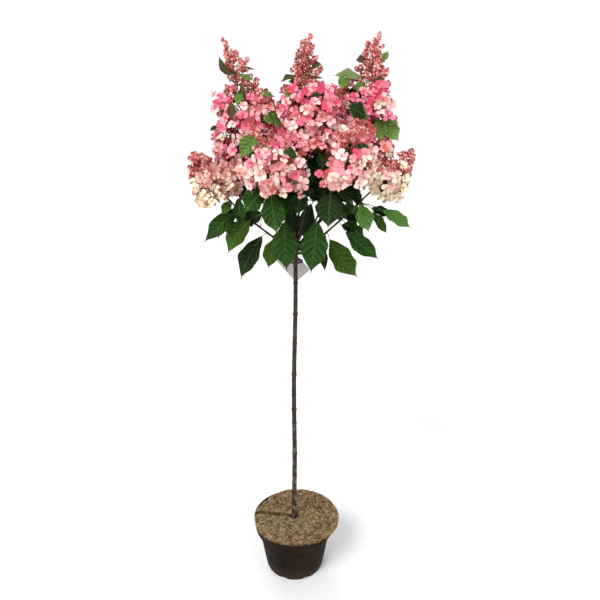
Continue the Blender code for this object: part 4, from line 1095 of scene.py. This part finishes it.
def bladeInto(heap, leaf, grid):
    s, (rows, columns) = leafSizes, grid
    t = np.linspace(0.0, 1.0, rows + 1) ** 1.05
    u = np.linspace(-1.0, 1.0, columns + 1)
    t, u = np.meshgrid(t, np.sign(u) * np.abs(u) ** 0.85, indexing="ij")
    edge = np.ones_like(u)
    edge[:, 0] = edge[:, -1] = np.where(np.arange(rows + 1) % 2 == 0, 1.0, 1.0 - 2 * s["tooth"])
    places = leafSurface(leaf, t.ravel(), (u * edge).ravel()).reshape(rows + 1, columns + 1, 3)
    middle, across = (t[1:, 1:] + t[:-1, :-1]) / 2, np.abs(u[1:, 1:] + u[:-1, :-1]) / 2
    turn = middle * s["sideVeins"] / s["veined"] % 1.0    # painted shade in the furrows, painted light on one side of each rib
    pale = np.where((turn < 0.46) & (across > 0.10), 0.20, 0.0)
    pale = np.where((turn < 0.12) | (turn > 0.88), -0.24, pale)
    # painted shade towards the foot and painted light towards the tip, and one half of the blade painted as
    # lit more than the other
    pale = pale + leaf["paintedShadeAlong"] * (middle - 0.50) + leaf["lean"] * (u[1:, 1:] + u[:-1, :-1]) / 2
    tones = np.digitize(pale, (-0.20, 0.06, 0.32))
    gridInto(heap, [[tuple(p) for p in row] for row in places], tones=tones.ravel().tolist())


def veinsInto(heap, leaf):               # side veins proud of the underside
    s = leafSizes
    drop = np.array(leaf["normal"]) * s["veinLift"]
    for k in range(s["sideVeins"]):
        start = s["veined"] * (k + 0.5) / s["sideVeins"] - 0.02
        for way in (-1.0, 1.0):
            u = np.linspace(0.02, 0.90, 6) * way
            t = np.full_like(u, start + 0.06)
            thin = s["veinWidth"] * (1.0 - 0.7 * np.abs(u))
            pair = [leafSurface(leaf, t - thin, u) - drop, leafSurface(leaf, t + thin, u) - drop]
            gridInto(heap, [[tuple(p) for p in row] for row in (pair if way < 0 else pair[::-1])])


def addLeaf(leaf, root, tint, heaps, veins, stalks):
    s = leafSizes
    small = leaf["length"] < s["smallBelow"]
    bladeInto(heaps[tint], leaf, s["smallGrid"] if small else s["grid"])
    if not small:
        veinsInto(veins, leaf)
    t = np.linspace(0.0, 0.97, 9)
    rib = [Vector(p) for p in leafSurface(leaf, t, np.zeros_like(t))]
    entry = [root, between(root, rib[0], 0.5) + leaf["normal"] * 0.12 * (root - rib[0]).length]
    thick = s["stalk"] * (s["smallStalk"] if small else 1.0)
    stalks.append((entry + rib, [thick * 1.25, thick] + [between(thick * 0.85, 0.00022, x) for x in t]))


def inCrown(tip):                        # above the skirt of the crown and clear of the two open windows
    away, side = math.hypot(tip.x - 0.02, tip.y), abs(tip.x - 0.012)
    low = 1.152 if 0.055 < side < 0.15 else 1.05
    if tip.y < -0.10:                    # and behind the leaves that hang in front
        low = 1.16
    return away < 0.25 and tip.z > low + 0.3 * max(0.0, tip.y)


def hidesSky(base, tip, half):           # a leaf that would close one of the gaps
    x, y, z = plant["eye"]
    for share in (0.25, 0.5, 0.75, 1.0):
        place, room = between(base, tip, share), half * math.sin(math.pi * min(0.9, share))
        nearer = y / (y - place.y)       # brought forward to the stem's plane along the line of sight
        across, height = x + (place.x - x) * nearer, z + (place.z - z) * nearer
        if any(math.hypot(across - gapX, height - gapZ) < radius + room for gapX, gapZ, radius in skyGaps):
            return True
    return False


def ruleLeaves(shoot, index, make):      # pair over pair, each a quarter turn from the last
    course, rng = boughCourse(shoot), random.Random(300 + index)
    up, head = Vector((0, 0, 1)), Vector(plant["stemHead"])
    pairs = 5 if sum(row[0] == shoot.name for row in hangingLeaves) > 3 else 6
    for pair in range(pairs):
        share = between(plant["boughShare"], 1.0, 0.15 + 0.80 * pair / (pairs - 1))
        place = coursePoint(course, share)
        ahead = coursePoint(course, min(1.0, share + 0.02)) - coursePoint(course, share - 0.02)
        ahead = ahead.normalized()
        side = ahead.cross(up).normalized()
        lift, away = side.cross(ahead).normalized(), levelled(place - head)
        for half in (0, 1):
            turn = math.radians(90 * (pair % 2) + 180 * half + 20 * (index % 3)) + rng.uniform(-0.2, 0.2)
            out = side * math.cos(turn) + lift * math.sin(turn)
            for attempt in range(leafSizes["tries"]):
                heading = out + away * (0.30 + 0.2 * attempt) + ahead * 0.1
                heading = (heading.normalized() - up * rng.uniform(0.25, 0.75)).normalized()
                shorter = 1.0 - 0.07 * attempt
                tip = place + heading * leafSizes["length"] * rng.uniform(0.84, 1.10) * shorter
                base = between(place, tip, leafSizes["stalkShare"])
                if inCrown(tip) and not hidesSky(base, tip, 0.3 * (tip - base).length):
                    face = up * 0.6 + levelled(tip - head) * 0.7
                    face += Vector((rng.uniform(-0.5, 0.5), rng.uniform(-0.5, 0.5), 0.0))
                    make(place, base, tip, face, rng.uniform(0.27, 0.33), rng.uniform(-0.03, 0.03),
                         rng.choice(("deep", "deep", "mid", "deep", "mid", "olive")))
                    break


def hiddenLeaves(shoot, index, make, rng):   # dark ones inside the flowers, seen only through their gaps
    axis, across, other = panicleCross(shoot)
    for i in range(leafSizes["hidden"]):
        share, around = 0.04 + 0.05 * i, i * plant["goldenAngle"] + index
        out = across * math.cos(around) + other * math.sin(around)
        root = panicleAxis(shoot, share)
        tip = root + (out + axis * 0.25).normalized() * panicleRadius(share, shoot.widest) * 0.78
        make(root, between(root, tip, 0.15), tip, axis + wander(rng, 0.4), 0.36, 0.0, "deep")


def leafFinish(name, colour):            # a fine net of veins and crinkles in the relief
    material, tree, shader = finishOf(name, 0.38, 0.20, screenColour(colour))
    place = objectPlace(tree)
    net = addNode(tree, "ShaderNodeTexVoronoi", {"Vector": place, "Scale": 240.0},
                  feature="DISTANCE_TO_EDGE")
    height = maths(tree, "ADD", ranged(tree, net, 0.0, 0.22), noised(tree, place, 600.0))
    emboss(tree, shader, height, 0.75, 0.0009)
    return material


def makeLeaves():
    heaps, veins, stalks = {tint: newHeap() for tint in leafTints}, newHeap(), []
    rng, byName = random.Random(5), {shoot.name: shoot for shoot in shoots}

    def make(root, base, tip, face, slimness, bow, tint):
        addLeaf(leafAt(base, tip, face, slimness, bow, rng), root, tint, heaps, veins, stalks)

    for owner, share, base, tip, *rest in hangingLeaves:
        face = Vector((0.0, -1.0 if tip[1] < 0.08 else 1.0, 0.5))
        make(coursePoint(boughCourse(byName[owner]), share), Vector(base), Vector(tip), face, *rest)
    for index, shoot in enumerate(shoots):
        ruleLeaves(shoot, index, make)
    for owner, share, base, tip, *rest in flowerLeaves:
        face = Vector((0.0, -1.0 if tip[1] < 0.06 else 1.0, 0.6))
        make(panicleAxis(byName[owner], share), Vector(base), Vector(tip), face, *rest)
    for index, shoot in enumerate(shoots):
        hiddenLeaves(shoot, index, make, rng)
    pieces = []
    for tint, colours in leafTints.items():
        # the four tones are painted shade, the plain leaf, painted light and a painted highlight
        tones = [leafFinish(tint + part, colour)
                 for part, colour in zip(("Furrow", "Leaf", "Crest", "Light"), colours)]
        pieces.append(pieceFrom("leaves" + tint.capitalize(), heaps[tint], *tones))
    pieces.append(pieceFrom("leafVeins", veins, softFinish("leafVein", veinTint, 0.5, 700.0, 0.2, 0.3)))
    return pieces, stalks


leafPieces, leafStalks = makeLeaves()
print("leaves made")

# panicles: open florets below, sprays of closed buds above
floretSizes = {
    "radius": 0.0205, "perArea": 3000.0, "sepalWidth": 0.40, "budWiden": 1.4, "heart": 0.0016,
    "crownCentre": (0.02, 0.0, 1.30),
    # outline of a sepal from its throat: share of its length, share of its width
    "sepalRows": ((0.00, 0.10), (0.34, 0.64), (0.66, 1.00), (0.90, 0.78), (1.00, 0.36)),
    "sepalFolds": (-1.0, -0.5, 0.0, 0.5, 1.0),
    "budRows": ((0.00, 0.20), (0.40, 0.90), (0.80, 0.90), (1.00, 0.40)), "budFolds": (-1.0, 0.0, 1.0),
    # how far the sepals of each open and each half-shut shape rise
    "open": (0.05, 0.22, 0.38, 0.10, 0.62, 0.28, -0.15, 0.48), "shut": (1.05, 1.25, 1.15),
    # no floret hangs below these heights
    "skirt": {"lower_front_left": 1.244, "lower_front_right": 1.262, "lower_left": 1.202},
    "denser": {"lower_right": 1.7, "lower_left": 1.6, "lower_front_left": 0.85, "lower_front_right": 0.85,
               "upper_left": 1.1, "upper_front": 1.05, "upper_right": 1.1},
    # upperInner and lowerInner: the share of florets set deep inside, which carry painted shade
    "steps": 60, "upperSize": 0.90, "upperInner": 0.32, "lowerInner": 0.22,
    "frontBloom": 0.95, "showySize": 1.34,
}
budSizes = {"cluster": 0.0071, "beads": 5, "halfShut": 7, "sprays": 16}
petalTints = {                           # blade of the sepal, then its throat
    "deepPink": ((248, 134, 160), (226, 80, 114)),
    "rose": ((249, 174, 181), (229, 110, 133)),
    "salmon": ((242, 162, 157), (214, 104, 109)),
    "palePink": ((252, 210, 207), (239, 153, 160)),
    "blush": ((253, 228, 218), (245, 186, 180)),
    "dusk": ((230, 182, 166), (202, 138, 124)),
    "cream": ((248, 236, 213), (227, 206, 174)),
    "shade": ((132, 62, 44), (168, 84, 68)),
}
heartTint = (190, 124, 92)
budTints = {                             # the same for the buds
    "budRose": ((238, 152, 150), (216, 114, 118)),
    "budDusk": ((206, 116, 108), (176, 92, 82)),
    "budPale": ((244, 186, 174), (230, 148, 140)),
}
tintOrder = {                            # from the foot of a panicle to its tip
    "upper": ("palePink", "blush", "rose", "palePink", "salmon", "palePink", "rose", "blush", "deepPink",
              "palePink", "rose", "palePink", "deepPink"),
    "lower_front": ("blush", "dusk", "blush", "palePink", "salmon", "blush", "rose", "dusk", "palePink",
                    "rose", "salmon", "deepPink"),
    "lower_back": ("blush", "palePink", "blush", "palePink", "salmon", "rose"),
    "lower_left": ("cream", "dusk", "cream", "blush", "dusk", "palePink", "dusk", "salmon"),
    "lower_right": ("cream", "cream", "cream", "cream", "dusk", "cream", "blush", "blush", "palePink"),
}
# a panicle while it is dressed: its directions, length and share in flower, and what its parts are added to
Head = namedtuple("Head", "shoot axis across other length bloom rng florets buds stalks")
stalkRadii = {"axis": (0.0021, 0.0007), "floret": (0.0009, 0.0006, 0.0005),
              "bud": (0.0011, 0.0009, 0.0008), "side": (0.0007, 0.0007)}


def floretShape(rng, openness, widen=1.0, part="sepal"):    # four sepals in the unit circle, facing +Z
    rows, folds = floretSizes[part + "Rows"], floretSizes[part + "Folds"]
    strips = len(folds)
    points, faces, throats = [], [], []
    for sepal in range(4):
        turn = math.tau * sepal / 4 + rng.uniform(-0.32, 0.32)
        length = (1.0 if sepal % 2 else 0.90) * rng.uniform(0.76, 1.08)
        width = widen * floretSizes["sepalWidth"] * rng.uniform(0.78, 1.26)
        rise, cup = openness + rng.uniform(-0.25, 0.25), rng.uniform(0.10, 0.40)
        droop = rng.uniform(0.0, 0.45)
        wave, base, dusky = rng.uniform(-0.10, 0.10), 0.03 * (sepal % 2), rng.random() < 0.40
        flat = math.sqrt(max(0.2, 1.0 - 0.5 * rise * rise))
        first = len(points)
        for v, wide in rows:
            for u in folds:
                along = length * (v - 0.10 * u * u * v * v)
                across = width * wide * u
                z = base + rise * along + cup * width * u * u * wide - droop * along**3
                z += wave * math.sin(3.0 * u + 4.0 * v) * v
                points.append((along * flat * math.cos(turn) - across * math.sin(turn),
                               along * flat * math.sin(turn) + across * math.cos(turn), z))
        for i in range(len(rows) - 1):
            for j in range(strips - 1):
                a = first + i * strips + j
                faces.append((a, a + strips, a + strips + 1, a + 1))
                throats.append(dusky or i == 0)
    return points, faces, throats


def beadShape():                         # a closed bud of twenty faces
    points = [(0.0, 0.0, 1.1)]
    for ring, z in ((0, 0.45), (1, -0.45)):
        for j in range(5):
            turn = math.tau * (j + 0.5 * ring) / 5
            points.append((0.9 * math.cos(turn), 0.9 * math.sin(turn), z))
    points.append((0.0, 0.0, -1.0))
    faces = []
    for j in range(5):
        k = (j + 1) % 5
        faces += [(0, 1 + j, 1 + k), (1 + j, 6 + j, 1 + k), (1 + k, 6 + j, 6 + k), (11, 6 + k, 6 + j)]
    return points, faces, [False] * len(faces)


def tintOf(shoot, place, height, inner, rng):   # the palest florets are the lowest, the pinkest the highest
    # florets deep inside the panicle take darker tints: painted shade between the florets
    if inner:
        return rng.choice(("shade", "dusk", "dusk") if isLowSide(shoot) else ("shade", "shade", "salmon"))
    start = "lower_right" if place.x > 0.185 and place.z < 1.32 else shoot.name
    names = next(names for prefix, names in tintOrder.items() if start.startswith(prefix))
    value = height + rng.gauss(0.0, 0.24)
    return names[int(max(0.0, min(0.999, value)) * len(names))]


def inNotch(place):
    for rows in floretNotches:
        for (top, left, right), (foot, nextLeft, nextRight) in zip(rows, rows[1:]):
            share = (top - place.z) / (top - foot)
            if 0.0 <= share <= 1.0 and place.y < 0.05:
                if between(left, nextLeft, share) < place.x < between(right, nextRight, share):
                    return True
    return False


def overLeaf(place):                     # in front of a leaf that shows between the flowers
    for owner, at, base, tip, slimness, bow, tint in flowerLeaves:
        base, tip = Vector(base), Vector(tip)
        if tip.y > 0.06 or (tint == "deep" and base.z < 1.35):
            continue
        course, away = (tip - base).xz, (place - base).xz
        share = max(0.0, min(1.0, away.dot(course) / course.length_squared))
        beside = (away - course * share).length
        near = beside < 0.7 * slimness * course.length + 0.004
        if near and place.y < between(base.y, tip.y, share) + 0.012:
            return True
    return False


def overShowy(place):                    # in front of a floret that was placed one by one
    return any(math.hypot(place.x - x, place.z - z) < 0.9 * radius and place.y < y + 0.010
               for rows in showyFlorets.values() for x, y, z, radius, tint in rows)


def budClump(head, centre, way, size):   # buds packed over an egg, the half-shut ones outermost
    rng, wide, count = head.rng, budSizes["cluster"] * size, budSizes["beads"] + budSizes["halfShut"]
    turn = way.to_track_quat("Z", "X").to_matrix()
    main = rng.choice(tuple(budTints))
    for k in range(count):
        z = 1.0 - 2.0 * (k + 0.5) / count
        around = k * plant["goldenAngle"] + rng.uniform(-0.3, 0.3)
        level = math.sqrt(1.0 - z * z)
        spot = turn @ Vector((level * math.cos(around), level * math.sin(around), z * 1.35))
        tint = main if rng.random() < 0.5 else rng.choice(tuple(budTints))
        half = (k + 0.5) * budSizes["halfShut"] / count % 1.0 < budSizes["halfShut"] / count
        room = wide * (rng.uniform(0.75, 1.05) if half else rng.uniform(0.46, 0.62))
        reach = wide * (rng.uniform(0.40, 0.75) if half else rng.uniform(0.60, 0.95))
        kind = rng.randrange(1, 1 + len(floretSizes["shut"])) if half else 0
        facing = (spot + wander(rng, 0.4)).normalized()
        head.buds[tint].append((centre + spot * reach, facing, rng.uniform(0, 6), room, kind))


def budSpray(head, start, tip, way, size):
    # a stalk with one clump of buds at its end and smaller ones along it
    head.stalks.append(([start, between(start, tip, 0.5) - Vector((0, 0, 0.001)), tip], stalkRadii["bud"]))
    budClump(head, tip, way, size)
    reach = (tip - start).length
    for share, least, smaller in ((0.58, 0.022, 0.80), (0.30, 0.045, 0.75)):
        if reach > least:
            place = between(start, tip, share) + wander(head.rng, 0.007)
            budClump(head, place, way, size * smaller)
            head.stalks.append(([between(start, tip, share - 0.15), place], stalkRadii["side"]))


def outward(head, around):
    return head.across * math.cos(around) + head.other * math.sin(around)


def axisUnder(head, place, back, least, most):   # where a stalk to the place leaves the axis
    share = (place - Vector(head.shoot.foot)).dot(head.axis) / head.length - back
    return panicleAxis(head.shoot, max(least, min(most, share)))


def addFloret(head, tint, centre, facing, size, start, bend):
    roll, kind = head.rng.uniform(0, math.tau), head.rng.randrange(len(floretSizes["open"]))
    head.florets[tint].append((centre, facing, roll, size, kind))
    head.stalks.append(([start, bend, centre - facing * 0.002], stalkRadii["floret"]))


def dealtFlorets(head):                  # evenly over the flowering surface
    shoot, bloom, rng, s = head.shoot, head.bloom, head.rng, floretSizes
    upper, steps, upTo, heaped = isUpper(shoot), s["steps"], 0.0, []
    for i in range(steps):
        upTo += panicleRadius(bloom * (i + 0.5) / steps, shoot.widest)
        heaped.append(upTo)
    total = int(math.tau * upTo / steps * bloom * head.length * s["perArea"]
                * s["denser"].get(shoot.name, 1.0))
    skirt = s["skirt"].get(shoot.name, 0.0)
    room = 0.5 * shoot.widest * abs(head.across.z + head.other.z)
    lowest, highest = shoot.foot[2] - room, panicleAxis(shoot, bloom).z + room
    for i in range(total):
        share = bloom * (bisect_left(heaped, (i + 0.5) / total * upTo) + rng.random()) / steps
        out = outward(head, i * plant["goldenAngle"] + rng.uniform(-0.25, 0.25))
        if isLowSide(shoot):             # on the low side ones the flowers run out under the tip
            share = min(0.93, share * (1.0 - 0.42 * out.z))
        inner = rng.random() < s["upperInner" if upper else "lowerInner"]
        size = s["radius"] * rng.uniform(0.72, 1.14) * (s["upperSize"] if upper else 1.0)
        depth = rng.uniform(0.52, 0.74) if inner else rng.uniform(0.82, 1.04)
        reach = max(0.010, panicleRadius(share, shoot.widest) * depth - 0.25 * size)
        middle = panicleAxis(shoot, share)
        centre = middle + out * reach + wander(rng, 0.005)
        if inNotch(centre) or centre.z < skirt or overLeaf(centre) or overShowy(centre):
            continue
        crown = (centre - Vector(s["crownCentre"])).normalized()
        facing = out * 0.8 + head.axis * between(-0.25, 0.60, share / bloom) + crown * 0.6
        facing = (facing + wander(rng, 0.85)).normalized()
        budding = 0.34 if share > 0.85 * shoot.bloom else 0.16
        if not inner and share > 0.66 * shoot.bloom and rng.random() < budding:
            way = (centre - middle).normalized()
            budSpray(head, between(middle, centre, 0.5), centre, way, rng.uniform(0.8, 1.0))
            continue
        tint = tintOf(shoot, centre, (centre.z - lowest) / (highest - lowest), inner, rng)
        start = panicleAxis(shoot, max(0.0, share - 0.10))
        bend = between(start, centre, 0.55) + head.axis * 0.006
        addFloret(head, tint, centre, facing, size, between(start, centre, 0.25), bend)


def showyOnes(head):                     # those that can be told apart from the front
    for x, y, z, radius, tint in showyFlorets.get(head.shoot.name, ()):
        centre = Vector((x, y, z))
        facing = (Vector((0.0, -1.0, 0.30)) + wander(head.rng, 0.55)).normalized()
        start = axisUnder(head, centre, 0.05, 0.05, 0.9)
        bend = between(start, centre, 0.55) + head.axis * 0.004
        addFloret(head, tint, centre, facing, floretSizes["showySize"] * radius, start, bend)


def placedClumps(head):
    for x, y, z, size in budPlaces.get(head.shoot.name, ()):
        place = Vector((x, y, z))
        start = axisUnder(head, place, 0.03, 0.0, 0.95)
        middle = between(start, place, 0.5) - Vector((0, 0, 0.002))
        budClump(head, place, ((place - start).normalized() + head.axis * 0.5).normalized(), size)
        head.stalks.append(([start, middle, place], stalkRadii["bud"]))


def budSpike(head):                      # sprays to the tip, open enough for the sky to show
    shoot, bloom, placed = head.shoot, head.bloom, head.shoot.name in budPlaces
    spike = max(0.0, 0.955 - bloom) * head.length
    sprays = max(1, int(budSizes["sprays"] * spike / 0.11))
    for i in range(sprays):
        share = between(bloom * 0.97, 0.95, (i + 0.5) / sprays)
        out = outward(head, i * plant["goldenAngle"] + 0.7)
        if out.z < -0.25 or (placed and out.y < 0.35):   # flowers hang under a leaning panicle instead
            continue
        reach = (0.55 if placed else 0.84) * panicleRadius(share, shoot.widest) + 0.003
        start = panicleAxis(shoot, share - 0.02)
        way = (out + head.axis * 0.50).normalized()
        tip = start + way * reach * head.rng.uniform(0.78, 1.05)
        budSpray(head, start, tip, way, between(1.10, 0.72, (share - bloom) / (1.0 - bloom)))
    if not placed:
        for share in (0.965, 0.925):
            budClump(head, panicleAxis(shoot, share), head.axis, 0.80)


def dressPanicle(shoot, index, florets, buds, stalks):
    length = (Vector(shoot.tip) - Vector(shoot.foot)).length
    bloom = floretSizes["frontBloom"] if shoot.name.startswith("lower_front") else shoot.bloom
    head = Head(shoot, *panicleCross(shoot), length, bloom, random.Random(100 + index), florets, buds, stalks)
    thick, thin = stalkRadii["axis"]
    stalks.append(([panicleAxis(shoot, i / 12) for i in range(13)],
                   [between(thick, thin, i / 12) for i in range(13)]))
    for part in (dealtFlorets, showyOnes, placedClumps, budSpike):
        part(head)


def makeFlowers():
    florets, buds = {tint: [] for tint in petalTints}, {tint: [] for tint in budTints}
    stalks, pieces, rng = [], [], random.Random(77)
    for index, shoot in enumerate(shoots):
        dressPanicle(shoot, index, florets, buds, stalks)

    def scattered(name, rows, shelf, blade, throat):
        pieces.append(grown(name, pointsCarrier(name + "Places", rows), scatterTree,
                            {"Shapes": shelf, "Size": 1.0, "Blade": blade, "Throat": throat}))

    shelf = shapeShelf("floret", [floretShape(rng, openness) for openness in floretSizes["open"]])
    for tint, colours in petalTints.items():
        blade, throat = (softFinish(tint + part, colour, 0.62, 380.0, 0.25, 0.25)
                         for part, colour in zip(("Blade", "Throat"), colours))
        scattered("florets" + tint[0].upper() + tint[1:], florets[tint], shelf, blade, throat)
    clearShelf(shelf)
    shelf = shapeShelf("bead", [beadShape()] + [floretShape(rng, openness, floretSizes["budWiden"], "bud")
                                                for openness in floretSizes["shut"]])
    hearts = [(place + facing * size * 0.10, facing, roll, floretSizes["heart"], 0)
              for rows in florets.values() for place, facing, roll, size, kind in rows]
    heart = softFinish("floretHeart", heartTint, 0.7, 500.0, 0.2, 0.2)
    scattered("floretHearts", hearts, shelf, heart, heart)
    for tint, colours in budTints.items():
        blade, throat = (softFinish(tint + part, colour, 0.6, 800.0, 0.2, 0.3)
                         for part, colour in zip(("Blade", "Throat"), colours))
        scattered("buds" + tint[3:], buds[tint], shelf, blade, throat)
    clearShelf(shelf)
    print("florets:", {t: len(r) for t, r in florets.items()}, "buds:", sum(len(r) for r in buds.values()))
    return pieces, stalks


flowerPieces, flowerStalks = makeFlowers()


# twigs of the leafy shoots, leaf stalks and flower stalks
twigSizes = {"rows": 15, "foot": 0.0029, "end": 0.0022, "knot": 0.0004}
twigFinishes = {                         # name, sides, colour, roughness, relief
    "shootTwigs": ("youngTwig", 8, (58, 44, 30), 0.6, 0.5),
    "leafStalks": ("leafStalk", 4, (96, 124, 66), 0.55, 0.3),
    "flowerStalks": ("flowerStalk", 3, (168, 84, 76), 0.6, 0.3),
}


def twigLine(shoot):                     # thicker at every third point
    course, s = boughCourse(shoot), twigSizes
    rows, start = s["rows"], plant["boughShare"] - 0.02
    points = [coursePoint(course, between(start, 1.0, i / (rows - 1))) for i in range(rows)]
    radii = [between(s["foot"], s["end"], i / rows) + (s["knot"] if i % 3 == 1 else 0.0)
             for i in range(rows + 1)]
    return points + [panicleAxis(shoot, 0.03)], radii


def makeTwigs(*groups):
    made = []
    for lines, (name, (finish, sides, colour, roughness, relief)) in zip(groups, twigFinishes.items()):
        material = softFinish(finish, colour, roughness, 500.0, relief, 0.3)
        made.append(grown(name, linesCarrier(name + "Lines", lines), limbTree,
                          {"Sides": sides, "Material": material}))
    return made


shootTwigs, petioles, stalkPiece = makeTwigs([twigLine(shoot) for shoot in shoots], leafStalks, flowerStalks)
print("flowers and twigs made")

# blank label on its strap
labelSizes = {
    "width": 0.056, "length": 0.086, "thick": 0.0007,
    "corner": (0.005, 0.026, 0.969), "turn": math.radians(-41),
    "grid": (12, 18), "round": 0.004, "bow": 0.0016, "sharpFrom": 50,
    "strapHeight": 1.036, "strapThick": 0.0022, "strapSides": 40,
    "strapOutline": ((-1, -0.8), (-0.6, -1), (0.6, -1), (1, -0.8), (1, 0.8), (0.6, 1), (-0.6, 1), (-1, 0.8)),
}
labelTints = {"card": ((186, 178, 180), (208, 200, 202)), "strap": ((38, 32, 28), (58, 50, 44))}
cardPlace = Matrix.Translation(labelSizes["corner"]) @ Matrix.Rotation(labelSizes["turn"], 4, "Y")


def cardPoint(i, j, side):               # one face of the card, with round corners and a slight bow
    s, (across, along) = labelSizes, labelSizes["grid"]
    x, z = s["width"] * i / across, s["length"] * j / along
    nearX, nearZ = min(x, s["width"] - x), min(z, s["length"] - z)
    if nearX < s["round"] and nearZ < s["round"]:
        away = math.hypot(s["round"] - nearX, s["round"] - nearZ)
        if away > s["round"]:
            pull = 1.0 - s["round"] / away
            x += math.copysign((s["round"] - nearX) * pull, s["width"] / 2 - x)
            z += math.copysign((s["round"] - nearZ) * pull, s["length"] / 2 - z)
    bow = -s["bow"] * math.sin(math.pi * x / s["width"]) * math.sin(math.pi * z / s["length"])
    return cardPlace @ Vector((x, bow + side * s["thick"] / 2, z))


def makeLabel(material, strapMaterial):
    s, heap, strap = labelSizes, newHeap(), newHeap()
    across, along = s["grid"]
    for side in (-1, 1):
        rows = [[cardPoint(i, j, side) for i in range(across + 1)] for j in range(along + 1)]
        gridInto(heap, rows if side < 0 else [row[::-1] for row in rows])
    rim = ([(i, 0) for i in range(across)] + [(across, j) for j in range(along)]
           + [(i, along) for i in range(across, 0, -1)] + [(0, j) for j in range(along, 0, -1)])
    gridInto(heap, [[cardPoint(i, j, side) for i, j in rim] for side in (1, -1)], closed=True)
    stem = stemPoint(s["strapHeight"])
    front = stem.y - stemRadius(s["strapHeight"]) - plant["clear"] - s["strapThick"] / 2
    radius, rows = (s["corner"][1] - front) / 2, []
    for turn in turnsOf(s["strapSides"]):
        out = Vector((math.cos(turn), math.sin(turn), 0.0))
        centre = Vector((stem.x, front + radius, s["strapHeight"])) + out * radius
        rows.append([centre + out * s["strapThick"] * 0.32 * a + Vector((0, 0, 0.0030 * b))
                     for a, b in s["strapOutline"]])
    gridInto(strap, rows + rows[:1], closed=True)
    made = [pieceFrom("labelCard", heap, material), pieceFrom("labelStrap", strap, strapMaterial)]
    for piece in made:
        mergeClose(piece, 0.00001, s["sharpFrom"])
    return made


card = mottled("greyCard", *labelTints["card"], 30.0, 700.0, 0.4, 0.5, 0.15, 0.0004, specular=0.4)[0]
strapPlastic = mottled("strapPlastic", *labelTints["strap"], 60.0, 700.0, 0.4, 0.5, 0.15, 0.0004,
                       specular=0.3)[0]
labelPieces = makeLabel(card, strapPlastic)


def nodesOf(start):
    return [name for name in nodeNames if name.startswith(start)]


standsFor = [([potShell], "pot_plastic", ["pot"]), ([coirDisc] + coirFibres, "coir", ["mulch_disc"]),
             ([stemBark], "bark", ["stem"]), ([boughBark], "bark", nodesOf("bough_")),
             ([shootTwigs, petioles] + leafPieces, "leaf", nodesOf("leaves_")),
             (flowerPieces + [stalkPiece], "bloom", nodesOf("panicle_")), (labelPieces, "card", ["label"])]
for pieces, slotName, nodes in standsFor:
    for piece in pieces:
        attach(piece, "root")
        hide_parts(*nodes)
        piece.data.calc_loop_triangles()
        print("  ", piece.name, len(piece.data.loop_triangles), "triangles")

# studio: pale floor, soft light, camera
studio = {
    "floorRings": (60.0, 15.0, 5.0, 2.0, 1.0, 0.5, 0.0), "floorSides": 64,
    "floorColour": (0.96, 0.96, 0.96, 1.0), "ambient": 0.60,
    "suns": (    # name, place it shines from, softness in degrees, strength
        ("key", (-1.6, -2.2, 2.6), 28.0, 2.1),
        ("fill", (2.4, -1.8, 1.0), 40.0, 0.55),
        ("back", (-0.8, 2.4, 2.2), 40.0, 0.6)),
    "pitch": 73.5, "lens": 31.5, "sensor": 36.0,
}


def makeFloor():
    heap = newHeap()
    turns = turnsOf(studio["floorSides"])
    gridInto(heap, [[(radius * math.cos(turn), radius * math.sin(turn), 0.0) for turn in turns]
                    for radius in studio["floorRings"]], closed=True)
    floor = pieceFrom("floor", heap, finishOf("paleFloor", 0.9, 0.1, studio["floorColour"])[0])
    mergeClose(floor, 0.0001)


def makeAir(scene):                      # soft light all round, behind it a white that only the camera sees
    world = bpy.data.worlds.new("studioAir")
    world.use_nodes = True
    scene.world = world
    tree = world.node_tree
    air = tree.nodes["Background"]
    air.inputs["Strength"].default_value = studio["ambient"]
    air.inputs["Color"].default_value = (1.0, 1.0, 1.0, 1.0)
    shown = addNode(tree, "ShaderNodeBackground", {"Color": (1.0, 1.0, 1.0, 1.0), "Strength": 1.0})
    seen = addNode(tree, "ShaderNodeLightPath").outputs["Is Camera Ray"]
    pick = addNode(tree, "ShaderNodeMixShader", {0: seen, 1: air, 2: shown})
    tree.links.new(pick.outputs[0], tree.nodes["World Output"].inputs["Surface"])


def makeStudio():
    scene = bpy.context.scene
    makeFloor()
    makeAir(scene)
    for name, place, softness, strength in studio["suns"]:
        lamp = bpy.data.lights.new(name, "SUN")
        lamp.angle, lamp.energy = math.radians(softness), strength
        holder = inScene(name, lamp)
        holder.location = place
        holder.rotation_euler = Vector(place).to_track_quat("Z", "Y").to_euler()
    lens = bpy.data.cameras.new("camera")
    lens.lens, lens.sensor_width, lens.clip_end = studio["lens"], studio["sensor"], 100.0
    camera = inScene("camera", lens)
    camera.location = plant["eye"]
    camera.rotation_euler = (math.radians(studio["pitch"]), 0.0, 0.0)
    scene.camera = camera
    scene.view_settings.view_transform = "Standard"


makeStudio()
print("scene ready")
